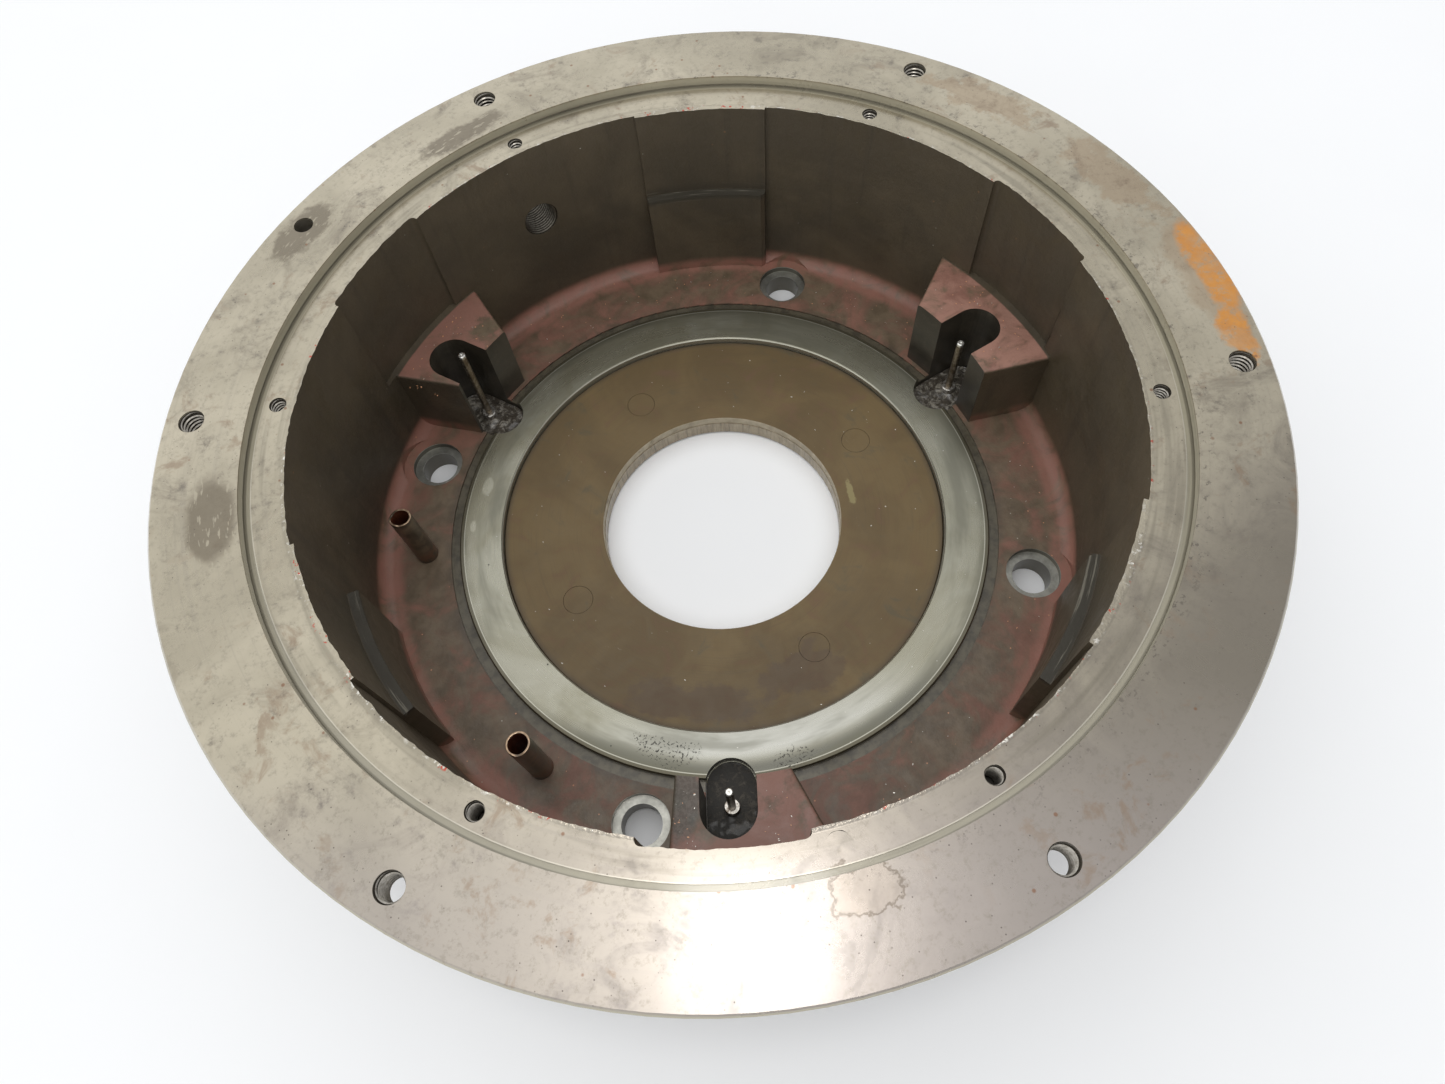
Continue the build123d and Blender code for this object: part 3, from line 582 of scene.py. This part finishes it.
def ground_steel():
    """The pilot ring: satin, green-grey with oil, pitted at the front; painted highlights on its front
    and its edges, painted shade on its right and on the front of its outer band.
    """
    s = Shader("ground_steel")
    clouds = s.noise(45 * MM, 4, 0.6, 0.8)
    smear = s.turned(9 * MM, 0.5, 4, 0.6)
    fine = s.turned(0.22 * MM, detail=1.0)
    front_side = s.towards(-0.38, -0.92)
    # painted highlight: a pale patch at the front of the ring, where the lamp's highlight falls; then
    # painted shade on the front of its outer band
    front_highlight = s.both(s.ramp(front_side, 80 * MM, 106 * MM), s.out(113 * MM, 106 * MM))
    s.base = s.mix(s.ramp(clouds, 0.35, 0.68), (0.3, 0.28, 0.2), (0.4, 0.385, 0.305))
    s.lay((0.56, 0.55, 0.49), front_highlight)
    shade = s.both(s.ramp(front_side, 70 * MM, 100 * MM), s.out(108 * MM, 114 * MM))
    s.lay((0.16, 0.155, 0.125), shade)
    s.lay((0.16, 0.155, 0.115), s.ramp(smear, 0.45, 0.7), 0.55)
    olive = s.both(s.out(111 * MM, 116.5 * MM), s.ramp(smear, 0.35, 0.6))
    s.lay((0.12, 0.112, 0.074), olive, 0.7)
    # painted shade: the ring is darker towards its right
    s.lay((0.2, 0.195, 0.145), s.ramp(s.x, 45 * MM, 105 * MM), 0.4)
    front = s.blots((109, -134, 6, 14, 0.8, 9), (113, -107, 4, 9, 0.9, 7))
    pits = s.both(front, s.ramp(s.noise(1.1 * MM, 3, 0.7), 0.56, 0.6))
    outside = s.out(RING_OUTER_R - 2.0 * MM, RING_OUTER_R - 1.8 * MM)
    s.lay((0.105, 0.092, 0.058), outside, 0.85)
    # painted highlights: thin bright lines near the ring's outer edge and along its inner edge
    line = s.both(s.out(RING_OUTER_R - 2.35 * MM, RING_OUTER_R - 2.2 * MM),
                  s.out(RING_OUTER_R - 1.8 * MM, RING_OUTER_R - 1.95 * MM))
    edges = s.either(line, s.out(RING_INNER_R + 0.45 * MM, RING_INNER_R + 0.2 * MM))
    s.lay((0.62, 0.6, 0.5), edges, 0.6)
    lone = s.specks(7 * MM, 0.2, 0.07)
    s.lay((0.03, 0.025, 0.02), s.either(pits, lone))
    pale = s.blots((109, 139, 2.4, 4.5, 0.3, 12), (112, 150, 1.4, 3, 0.3, 12))
    s.lay((0.55, 0.53, 0.42), pale, 0.6)
    s.metal(0.75)
    s.roughness(s.plus(s.blend(s.ramp(smear, 0.4, 0.7), 0.22, 0.34), s.times(fine, 0.08)))
    s.radial_sheen(0.45)
    s.set(Coat_Weight=0.4, Coat_Roughness=0.12)
    s.relief(0.003 * MM, fine)
    return s.done()


def oiled_bronze():
    """The thrust plate: bronze under brown varnished oil, redder in places, lightly scored."""
    s = Shader("oiled_bronze")
    clouds = s.noise(48 * MM, 5, 0.6, 0.7)
    patches = s.noise(15 * MM, 6, 0.65, 0.8, shift=0.6)
    fine = s.turned(0.4 * MM, detail=1.0)
    s.base = s.mix(s.ramp(clouds, 0.36, 0.66), (0.126, 0.082, 0.031), (0.168, 0.112, 0.043))
    s.lay((0.165, 0.09, 0.055), s.ramp(patches, 0.52, 0.72), 0.55)
    s.lay((0.085, 0.075, 0.042), s.ramp(patches, 0.42, 0.3), 0.5)
    s.lay((0.075, 0.058, 0.034), s.ramp(fine, 0.5, 0.8), 0.25)
    smudge = s.blots((86, -128, 9, 26, 0.7, 16), (80, -96, 10, 18, 0.8, 16))
    s.lay((0.08, 0.05, 0.035), smudge, 0.45)
    # painted shade on the plate's rim, in the corner under the ring's inner wall
    rim = s.out(RING_INNER_R - 3.4 * MM, RING_INNER_R - 0.1 * MM)
    s.lay((0.055, 0.04, 0.024), rim, 0.65)
    scuffs = s.ramp(s.turned(0.9 * MM, 0.06, 3, 0.6), 0.7, 0.74)
    scuffs = s.both(scuffs, s.ramp(s.noise(22 * MM, 3, shift=0.1), 0.52, 0.66))
    s.lay((0.3, 0.24, 0.17), scuffs, 0.5)
    yellow = s.blots((59.5, -21, 1.7, 6, 0.5, 4))
    s.lay((0.32, 0.27, 0.12), yellow, 0.7)
    crumbs = s.specks(6.5 * MM, 0.17, 0.07)
    s.lay((0.62, 0.58, 0.5), crumbs)
    # the bore's wall is scraped to a lighter, patchy grey tan
    wall = s.both(s.out(BORE_R + 0.5 * MM, BORE_R + 0.3 * MM), s.ramp(patches, 0.3, 0.46))
    s.lay(s.mix(s.noise(4 * MM, 3), (0.2, 0.16, 0.1), (0.6, 0.52, 0.38)), wall)
    s.metal(0.1)
    s.roughness(s.blend(s.ramp(patches, 0.4, 0.7), 0.46, 0.62))
    s.relief(0.012 * MM, fine)
    s.relief(0.02 * MM, s.noise(3 * MM, 2))
    return s.done()


def bright_steel(name, tint, stain, roughness):
    """Bare turned steel, mottled with a stain."""
    s = Shader(name)
    mottle = s.noise(1.2 * MM, 4, 0.65)
    s.base = s.mix(s.ramp(mottle, 0.4, 0.68), tint, stain)
    s.metal(0.85)
    s.roughness(s.plus(roughness, s.times(mottle, 0.15)))
    s.relief(0.012 * MM, mottle)
    return s.done()


def pin_steel(name, tip_z):
    """A pin's oily brown shank and its polished tip."""
    s = Shader(name)
    mottle = s.noise(2.2 * MM, 4, 0.65)
    s.base = s.mix(s.ramp(mottle, 0.4, 0.65), (0.2, 0.155, 0.105), (0.42, 0.36, 0.28))
    tip = s.up(tip_z - 2.2 * MM, tip_z - 0.9 * MM)
    s.lay((0.86, 0.84, 0.79), tip)
    s.metal(0.85)
    s.roughness(s.blend(tip, 0.34, 0.16))
    s.relief(0.01 * MM, mottle)
    return s.done()


def tarnished_copper(name, base_z, top_z):
    """A tube: charcoal outside, coppery by its foot, with a bright cut rim."""
    s = Shader(name)
    clouds = s.noise(7 * MM, 5, 0.65, 0.5)
    s.base = s.mix(s.ramp(clouds, 0.35, 0.7), (0.095, 0.07, 0.046), (0.21, 0.15, 0.098))
    foot = s.both(s.up(base_z + 12 * MM, base_z + 2 * MM), s.ramp(clouds, 0.35, 0.55))
    s.lay((0.19, 0.075, 0.04), foot, 0.8)
    rim = s.up(top_z - 0.7 * MM, top_z - 0.25 * MM)
    s.lay(s.mix(s.noise(1.5 * MM, 3), (0.26, 0.16, 0.1), (0.5, 0.37, 0.25)), rim)
    s.metal(s.blend(rim, 0.45, 0.9))
    s.roughness(s.blend(s.ramp(clouds, 0.4, 0.7), 0.3, 0.46))
    s.set(Coat_Weight=0.15, Coat_Roughness=0.25)
    s.relief(0.03 * MM, clouds)
    return s.done()


def copper_bore():
    """The red-brown inside of a tube."""
    s = Shader("copper_bore")
    clouds = s.noise(4 * MM, 5, 0.65)
    s.base = s.mix(s.ramp(clouds, 0.35, 0.7), (0.16, 0.045, 0.024), (0.3, 0.105, 0.055))
    s.metal(0.6)
    s.roughness(s.blend(clouds, 0.3, 0.45))
    return s.done()


def wet_grease(name, dark, pale, wet=1.0):
    """Old grease with darker specks and, where it is thick, a wet skin."""
    s = Shader(name)
    clouds = s.noise(3.5 * MM, 4, 0.7, 0.8)
    s.base = s.mix(s.ramp(clouds, 0.46, 0.66), dark, pale)
    s.lay((0.025, 0.021, 0.018), s.ramp(s.noise(0.9 * MM, 3, 0.7), 0.56, 0.64))
    s.roughness(s.blend(s.ramp(clouds, 0.4, 0.6), 0.62 - 0.5 * wet, 0.75 - 0.45 * wet))
    s.set(Specular_IOR_Level=0.15 + 0.45 * wet, Coat_Weight=0.5 * wet, Coat_Roughness=0.1)
    s.relief(0.18 * MM, s.noise(1.6 * MM, 3, 0.6))
    return s.done()


def plain_crumb(name, first, second, metal):
    """Crumbs of metal or rust."""
    s = Shader(name)
    s.base = s.mix(s.noise(6 * MM, 2), first, second)
    s.metal(metal)
    s.roughness(s.blend(s.noise(2 * MM, 2), 0.25, 0.5))
    return s.done()


# ---------------- mesh tools
def finished(name, mesh, body=BODY, smooth_angle=30):
    """Link a new mesh as a piece: shade it, and let it ride on its body."""
    piece = bpy.data.objects.new(name, mesh)
    bpy.context.scene.collection.objects.link(piece)
    mesh.polygons.foreach_set("use_smooth", [True] * len(mesh.polygons))
    mesh.set_sharp_from_angle(angle=math.radians(smooth_angle))
    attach(piece, body)
    return piece


def mesh_from(name, bm, *materials):
    """Turn a bmesh into a mesh with its materials."""
    mesh = bpy.data.meshes.new(name)
    bm.normal_update()
    bm.to_mesh(mesh)
    bm.free()
    if "custom_normal" in mesh.attributes:
        mesh.attributes.remove(mesh.attributes["custom_normal"])
    for material in materials:
        mesh.materials.append(material)
    return mesh


def smooth_step(value, low, high):
    """0 below low, 1 above high, and smooth between; low may be the larger."""
    t = min(max((value - low) / (high - low), 0.0), 1.0)
    return t * t * (3 - 2 * t)


def rumble(point, size, seed=0.0):
    """Smooth noise from about -1 to 1 at a point, with features of a size in metres."""
    return noise.noise(Vector(point) / size + Vector((seed, seed * 1.7, seed * 0.3)))


def slot_distance(point, angle):
    """How far a point stands outside the outline of the milled pocket at an angle."""
    turn = math.radians(angle)
    out = point.x * math.cos(turn) + point.y * math.sin(turn)
    side = point.y * math.cos(turn) - point.x * math.sin(turn)
    nearest = min(max(out, SLOT_INNER_R), SLOT_OUTER_R)
    return math.hypot(out - nearest, side) - SLOT_HALF_WIDTH


# ---------------- housing
def wanted_lengths(middles):
    """The longest edge wanted at each point: short where the casting's skin is rough."""
    radius = np.hypot(middles[:, 0], middles[:, 1])
    z = middles[:, 2]
    wanted = np.full(len(middles), 1.0)
    boss_foot_z, ledge_z = FLOOR_Z + 6 * MM, LEDGE_Z + 0.01 * MM
    wall_r = WALL_MIDDLE_R - 0.5 * MM
    # length in mm, inner and outer radius, lowest and highest: wall, floor, bosses, rim, outside
    for length, inner, outer, low, high in (
            (6.0, PAD_LOWER_R - 0.5 * MM, wall_r, FLOOR_Z - 0.1 * MM, ledge_z),
            (4.0, BOSS_INNER_R + 0.5 * MM, wall_r, FLOOR_Z - 0.5 * MM, boss_foot_z),
            (4.0, BOSS_INNER_R + 0.3 * MM, wall_r, boss_foot_z, BOSS_TOP_Z + 0.1 * MM),
            (1.3, BOWL_INNER_R - 3.2 * MM, BOWL_INNER_R + 3.0 * MM, LEDGE_Z - 1.6 * MM, ledge_z),
            (10.0, WALL_MIDDLE_R + 1.5 * MM, PORT_FACE_R + 0.5 * MM, -1.0, FLANGE_UNDER_Z - 0.1 * MM)):
        here = (radius > inner) & (radius < outer) & (z > low) & (z < high)
        wanted[here] = np.minimum(wanted[here], length * MM)
    return wanted


REFINING_ROUNDS = 7


def refine(bm):
    """Halve edges that are longer than wanted, again and again."""
    for _ in range(REFINING_ROUNDS):
        bm.verts.ensure_lookup_table()
        bm.edges.ensure_lookup_table()
        places = np.array([v.co for v in bm.verts])
        ends = np.array([(e.verts[0].index, e.verts[1].index) for e in bm.edges])
        first, second = places[ends[:, 0]], places[ends[:, 1]]
        lengths = np.linalg.norm(first - second, axis=1)
        long = np.flatnonzero(lengths > wanted_lengths((first + second) / 2))
        if len(long) == 0:
            break
        bmesh.ops.subdivide_edges(bm, edges=[bm.edges[i] for i in long], cuts=1)
        bmesh.ops.triangulate(bm, faces=[f for f in bm.faces if len(f.verts) > 3])
        bm.verts.index_update()


def skin_shift(point, normal):
    """How the casting's rough skin moves one point of the housing."""
    radius, z = math.hypot(point.x, point.y), point.z
    if radius < BOSS_INNER_R + 0.2 * MM or z > LEDGE_Z + 0.01 * MM:
        return Vector()
    if radius > WALL_MIDDLE_R:
        if z > FLANGE_UNDER_Z - 0.3 * MM or z < 0.4 * MM or radius > PORT_FACE_R - 0.8 * MM:
            return Vector()
        swell = 0.35 * rumble(point, 45 * MM, 3) + 0.12 * rumble(point, 11 * MM, 5)
        return normal * swell * MM * smooth_step(z, 0.4 * MM, 8 * MM)
    if z > LEDGE_Z - 1.7 * MM:
        outwards = Vector((point.x, point.y, 0)).normalized()
        ragged = 0.3 * rumble(point, 5 * MM, 8) + 0.3 * rumble(point, 2.1 * MM, 9)
        ragged += 0.25 * rumble(point, 24 * MM, 10)
        return outwards * ragged * MM
    if z < SLOT_FLOOR_Z + 3.5 * MM:
        return Vector()
    clear = min(slot_distance(point, angle) for angle in BOSS_ANGLES.values())
    for hole in FLOOR_HOLES:
        if z < FLOOR_Z + 3 * MM:
            clear = min(clear, math.hypot(point.x - hole.x, point.y - hole.y) - FLOOR_SEAT_R)
    calm = smooth_step(clear, 0.2 * MM, 2.2 * MM)
    calm *= smooth_step(radius, BOSS_INNER_R + 0.3 * MM, BOSS_INNER_R + 2.2 * MM)
    swell = 0.32 * rumble(point, 34 * MM, 1) + 0.16 * rumble(point, 9 * MM, 2)
    return normal * swell * MM * calm


def face_kind(face):
    """A face's finish: 0 machined iron, 1 cast inside, 2 oily machined, 3 cast outside."""
    centre, normal = face.calc_center_median(), face.normal
    radius, z = math.hypot(centre.x, centre.y), centre.z
    if z > LEDGE_Z - 0.9 * MM and (radius > BOWL_INNER_R + 1.3 * MM or normal.z > 0.9):
        return 0
    if z > LEDGE_Z - 16 * MM and WALL_MIDDLE_R - 0.5 * MM < radius < LEDGE_HOLES_R:
        return 2
    flat = normal.z < -0.999
    on_back = z < 0.05 * MM and flat
    if radius > WALL_MIDDLE_R:
        flange = radius > FLANGE_ROOT_R or (z > FLANGE_UNDER_Z - 0.5 * MM and flat)
        return 0 if flange or on_back else 3
    if on_back:
        return 0
    clear = min(slot_distance(centre, angle) for angle in BOSS_ANGLES.values())
    inner_face = radius < BOSS_INNER_R + 0.2 * MM and z > FLOOR_Z + 0.2 * MM
    if inner_face or clear < 0.15 * MM or z < FLOOR_Z - 0.6 * MM or radius < RING_OUTER_R:
        return 2
    return 1


def add_housing(materials):
    """Replace the housing by the same casting with a finer, rougher skin."""
    bm = bmesh.new()
    bm.from_mesh(frame["nodes"]["housing"].data)
    bmesh.ops.remove_doubles(bm, verts=bm.verts, dist=0.002 * MM)
    refine(bm)
    bm.normal_update()
    for face in bm.faces:
        face.material_index = face_kind(face)
    for vertex in bm.verts:
        vertex.co += skin_shift(vertex.co, vertex.normal)
    piece = finished("housing_casting", mesh_from("housing_casting", bm, *materials))
    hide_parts("housing")


# ---------------- threads
CREST = 0.54                      # the ridge's height, in pitches
ROOT_SIDES = (0, 4, 5)            # the sides of its profile that lie in the root, which is coloured dark


def add_thread(bm, mouth, axis, radius, pitch, depth, start_in):
    """Add one tapped hole's helical ridge to a bmesh. axis points out of the mouth."""
    steps = 32
    turn_to_axis = UP.rotation_difference(axis).to_matrix()
    total = int((depth - start_in) / pitch * steps)
    sections = []
    for i in range(total + 1):
        angle = 2 * math.pi * i / steps
        fade = min(1.0, i / (steps * 0.6), (total - i) / (steps * 0.4) + 0.05)
        inner = radius - CREST * pitch * fade
        flank, root = (radius + inner) / 2, radius + 0.06 * MM
        section = []
        for reach, rise in ((root, 0.46), (flank, 0.26), (inner, 0.07),
                            (inner, -0.07), (flank, -0.26), (root, -0.46)):
            z = (rise - i / steps) * pitch - start_in
            local = Vector((reach * math.cos(angle), reach * math.sin(angle), z))
            section.append(bm.verts.new(mouth + turn_to_axis @ local))
        sections.append(section)
    corners = len(sections[0])
    for before, after in zip(sections, sections[1:]):
        for k in range(corners):
            n = (k + 1) % corners
            face = bm.faces.new((before[k], before[n], after[n], after[k]))
            face.material_index = 1 if k in ROOT_SIDES else 0
    bm.faces.new(sections[0])
    bm.faces.new(reversed(sections[-1]))


def add_threads(material, port_shaded_material, root_material):
    """Cut the threads of the flange, of the ledge and of the side port, with dark roots; the side port's
    flanks are a darker copy, as painted shade inside the port.
    """
    bolts, port = MOUNTS["flange_bolts"]["dims"], MOUNTS["side_port"]
    four, two = MOUNTS["cover_screws_four"]["dims"], MOUNTS["cover_screws_two"]["dims"]
    half_x, half_y = four["spacing_x_mm"] / 2 * MM, four["spacing_y_mm"] / 2 * MM
    flange = [polar(bolts["pcd_mm"] / 2 * MM, 30 + 60 * i, TOP_Z) for i in range(bolts["count"])]
    ledge = [Vector((x, y, LEDGE_Z)) for x in (-half_x, half_x) for y in (-half_y, half_y)]
    ledge += [Vector((0, side * two["spacing_y_mm"] / 2 * MM, LEDGE_Z)) for side in (-1, 1)]
    outwards = Vector(port["axis"])
    side_port = outwards * PORT_FACE_R + UP * port["pos_m"][2]
    for name, mouths, axis, radius, per_inch, depth, start_in, flank in (
            ("flange", flange, UP, bolts["hole_r_mm"], 16, 12.0, 0.9, material),
            ("ledge", ledge, UP, four["hole_r_mm"], 20, 13.0, 0.8, material),
            ("port", [side_port], outwards, port["dims"]["r_mm"], 18, 18.6, 0.7, port_shaded_material)):
        bm = bmesh.new()
        for mouth in mouths:
            add_thread(bm, mouth, axis, radius * MM, INCH / per_inch, depth * MM, start_in * MM)
        mesh = mesh_from(name + "_threads", bm, flank, root_material)
        mesh.flip_normals()
        finished(name + "_threads", mesh)


# ---------------- tubes
def add_cut_tube(node, notch_angle, notch_depth, squeeze, bore_finish):
    """A soft copper tube, hand cut: out of round, with a ragged rolled rim and a nick."""
    low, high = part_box(node)
    centre = Vector(((low.x + high.x) / 2, (low.y + high.y) / 2, 0))
    outer_r = (high.x - low.x) / 2
    wall = 0.81 * MM
    sides, levels = 72, 34
    bm = bmesh.new()

    def ring(radius, z, bite):
        verts = []
        for i in range(sides):
            angle = 2 * math.pi * i / sides
            height = smooth_step(z, low.z + 10 * MM, high.z)
            oval = 1 - squeeze * height * (0.5 + 0.5 * math.cos(2 * angle - notch_angle))
            ragged = 0.1 * rumble((math.cos(angle) * 3, math.sin(angle) * 3, z / MM), 1.0, 4)
            near = math.cos((angle - notch_angle) / 2) ** 40
            drop = bite * (notch_depth * near + 0.22 * MM * (1 + rumble((angle, 0, 7), 0.5)))
            reach = radius * oval + ragged * MM * 0.6 * height
            verts.append(bm.verts.new(centre + Vector((reach * math.cos(angle), reach * math.sin(angle),
                                                       z - drop))))
        return verts

    rings = []
    for i in range(levels + 1):
        z = low.z + (high.z - 0.3 * MM - low.z) * i / levels
        rings.append(ring(outer_r - 0.07 * MM, z, 0.4 * (i / levels) ** 24))
    rings.append(ring(outer_r - 0.14 * MM, high.z - 0.1 * MM, 0.9))
    rings.append(ring(outer_r - 0.36 * MM, high.z - 0.01 * MM, 1.0))
    rings.append(ring(outer_r - wall - 0.05 * MM, high.z - 0.12 * MM, 1.0))
    for i in range(levels + 1):
        z = high.z - 0.5 * MM - (high.z - 0.5 * MM - low.z) * i / levels
        rings.append(ring(outer_r - wall, z, 0.4 * (1 - i / levels) ** 24))
    inner_from = levels + 4       # the first row of faces inside the bore
    for row, (before, after) in enumerate(zip(rings, rings[1:] + rings[:1])):
        for i in range(sides):
            j = (i + 1) % sides
            face = bm.faces.new((before[i], before[j], after[j], after[i]))
            face.material_index = 1 if row >= inner_from else 0
    finish = tarnished_copper(node + "_copper", FLOOR_Z, high.z)
    mesh = mesh_from(node + "_cut", bm, finish, bore_finish)
    piece = finished(node + "_cut", mesh, smooth_angle=45)
    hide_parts(node)


# ---------------- grease
def add_grease(side, thickness, seed, material):
    """A lumpy film of grease over one milled pocket's floor, heaped round the pin's guide."""
    turn = math.radians(BOSS_ANGLES[side])
    guide = node_centre("pin_guide_" + side)
    guide_out = math.hypot(guide.x, guide.y)
    bm = bmesh.new()
    rows, columns = 84, 48
    margin = 0.25 * MM
    start, end = SLOT_INNER_R - SLOT_HALF_WIDTH, SLOT_OUTER_R + SLOT_HALF_WIDTH
    grid = []
    for i in range(rows + 1):
        along = start + (end - start) * (0.5 - 0.5 * math.cos(math.pi * i / rows))
        centre = min(max(along, SLOT_INNER_R), SLOT_OUTER_R)
        half = math.sqrt(max((SLOT_HALF_WIDTH - margin) ** 2 - (along - centre) ** 2, 0.0))
        row = []
        for j in range(columns + 1):
            across = half * math.sin(math.pi / 2 * (2 * j / columns - 1))
            inside = SLOT_HALF_WIDTH - math.hypot(along - centre, across)
            near_guide = math.exp(-((along - guide_out) ** 2 + across ** 2) / (5.5 * MM) ** 2)
            lump = 0.55 + 0.9 * rumble((along, across, seed), 6 * MM, seed)
            lump += 0.45 * rumble((along, across, seed), 2.2 * MM, seed + 2)
            height = thickness * (max(lump, 0.05) + 2.0 * near_guide)
            height += 0.7 * thickness * math.exp(-inside / (1.2 * MM))
            z = SLOT_FLOOR_Z + height * smooth_step(inside, 0, 0.5 * MM) + 0.03 * MM
            x = along * math.cos(turn) - across * math.sin(turn)
            y = along * math.sin(turn) + across * math.cos(turn)
            row.append(bm.verts.new((x, y, z)))
        grid.append(row)
    for below, above in zip(grid, grid[1:]):
        for j in range(columns):
            bm.faces.new((below[j], above[j], above[j + 1], below[j + 1]))
    bmesh.ops.remove_doubles(bm, verts=bm.verts, dist=0.01 * MM)
    bmesh.ops.recalc_face_normals(bm, faces=bm.faces)
    rim = bmesh.ops.extrude_face_region(bm, geom=bm.faces[:])
    for element in rim["geom"]:
        if isinstance(element, bmesh.types.BMVert):
            element.co.z = SLOT_FLOOR_Z - 0.02 * MM
    bmesh.ops.recalc_face_normals(bm, faces=bm.faces)
    mesh = mesh_from("grease_" + side, bm, material)
    finished("grease_" + side, mesh, smooth_angle=70)


# ---------------- crumbs
def add_crumb(bm, place, size, dice):
    """One bent flake of metal lying on a surface."""
    spin = dice.uniform(0, 2 * math.pi)
    length, width = size * dice.uniform(0.8, 1.6), size * dice.uniform(0.35, 0.8)
    lift = size * dice.uniform(0.15, 0.45)
    outline = ((-1, -0.6, 0.02), (0.1, -1, 0.5), (1, -0.2, 0.1), (0.6, 0.9, 0.7), (-0.7, 0.8, 0.2))
    verts = []
    for layer in (0.0, 1.0):
        for x, y, z in outline:
            local = Vector((x * length / 2, y * width / 2, (z * 0.6 + layer * 0.5) * lift))
            verts.append(bm.verts.new(place + Matrix.Rotation(spin, 3, "Z") @ local))
    count = len(outline)
    bm.faces.new(verts[count - 1::-1])
    bm.faces.new(verts[count:])
    for i in range(count):
        j = (i + 1) % count
        bm.faces.new((verts[i], verts[j], verts[count + j], verts[count + i]))


def scatter(name, count, seed, size, surfaces, material):
    """Scatter crumbs over surfaces: inner and outer radius, height, first and last angle."""
    dice = random.Random(seed)
    bm = bmesh.new()
    made = 0
    while made < count:
        inner, outer, z, low_angle, high_angle = dice.choice(surfaces)
        radius = math.sqrt(dice.uniform(inner ** 2, outer ** 2))
        place = polar(radius, dice.uniform(low_angle, high_angle), z)
        clear = min(slot_distance(place, angle) for angle in BOSS_ANGLES.values())
        to_hole = min((place.xy - hole.xy).length for hole in FLOOR_HOLES)
        if clear < 1.5 * MM or to_hole < FLOOR_SEAT_R + 2 * MM:
            continue
        add_crumb(bm, place, size * dice.uniform(0.5, 1.5), dice)
        made += 1
    finished(name, mesh_from(name, bm, material), smooth_angle=20)


def add_crumbs():
    """Swarf and rust crumbs on the plate, the ring, the floor and the boss tops."""
    bright = plain_crumb("bright_swarf", (0.8, 0.77, 0.7), (0.55, 0.52, 0.46), 0.7)
    rusty = plain_crumb("rust_crumbs", (0.6, 0.24, 0.1), (0.8, 0.45, 0.25), 0.0)
    plate = (58 * MM, 96 * MM, PLATE_TOP_Z, 0, 360)
    ring = (100 * MM, 116 * MM, RING_TOP_Z, 0, 360)
    floor = (127 * MM, 143 * MM, FLOOR_Z + 0.1 * MM, 18, 100)
    floor_front = (127 * MM, 143 * MM, FLOOR_Z + 0.1 * MM, 262, 342)
    tops = [(128 * MM, 150 * MM, BOSS_TOP_Z, angle - 8, angle + 9) for angle in BOSS_ANGLES.values()]
    scatter("swarf", 150, 11, 0.42 * MM, [plate, plate, ring, floor, floor_front, *tops], bright)
    scatter("rust_crumbs", 90, 12, 0.5 * MM, [floor, floor_front, *tops, *tops], rusty)


# ---------------- making
def dress(node, material):
    """Give a CAD node its finish."""
    mesh = frame["nodes"][node].data
    if mesh.materials:
        mesh.materials[0] = material
    else:
        mesh.materials.append(material)


add_camera()
add_stage()
IRON = machined_iron()
add_housing((IRON, cast_inside(), oily_machined(), cast_outside()))
# the side port's flanks are a darker copy of the flange's, as painted shade inside the port
add_threads(bright_steel("thread_flanks", (0.46, 0.43, 0.38), (0.3, 0.275, 0.23), 0.24),
            bright_steel("port_flanks_painted_shade", (0.21, 0.19, 0.155), (0.12, 0.105, 0.085), 0.36),
            bright_steel("thread_roots", (0.028, 0.024, 0.018), (0.055, 0.045, 0.034), 0.55))
INSIDE_TUBE = copper_bore()
add_cut_tube("oil_tube_short", 2.2, 1.3 * MM, 0.1, INSIDE_TUBE)
add_cut_tube("oil_tube_tall", 4.4, 0.3 * MM, 0.04, INSIDE_TUBE)
GREASE = wet_grease("wet_grease", (0.06, 0.05, 0.038), (0.27, 0.245, 0.2))
# painted shade: the front pocket's grease is a darker, drier copy, for the shade in that pocket
SHADED_GREASE = wet_grease("front_grease_painted_shade", (0.03, 0.026, 0.02), (0.088, 0.076, 0.06), 0.2)
for pocket, film, pocket_seed, substance in (("left", 0.55 * MM, 3, GREASE),
                                             ("right", 0.6 * MM, 5, GREASE),
                                             ("front", 0.16 * MM, 8, SHADED_GREASE)):
    add_grease(pocket, film, pocket_seed, substance)
add_crumbs()

BRONZE = oiled_bronze()
dress("pilot_ring", ground_steel())
dress("thrust_plate", BRONZE)
dress("thrust_plate_screws", BRONZE)
dress("ledge_plug", IRON)
dress("pilot_ring_screws", bright_steel("black_oxide", (0.045, 0.045, 0.047), (0.075, 0.068, 0.06), 0.35))
GUIDE_STEEL = bright_steel("guide_steel", (0.6, 0.57, 0.52), (0.16, 0.13, 0.1), 0.22)
for pin_side in BOSS_ANGLES:
    dress("pin_guide_" + pin_side, GUIDE_STEEL)
    pin = "release_pin_" + pin_side
    dress(pin, pin_steel(pin + "_steel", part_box(pin)[1].z))
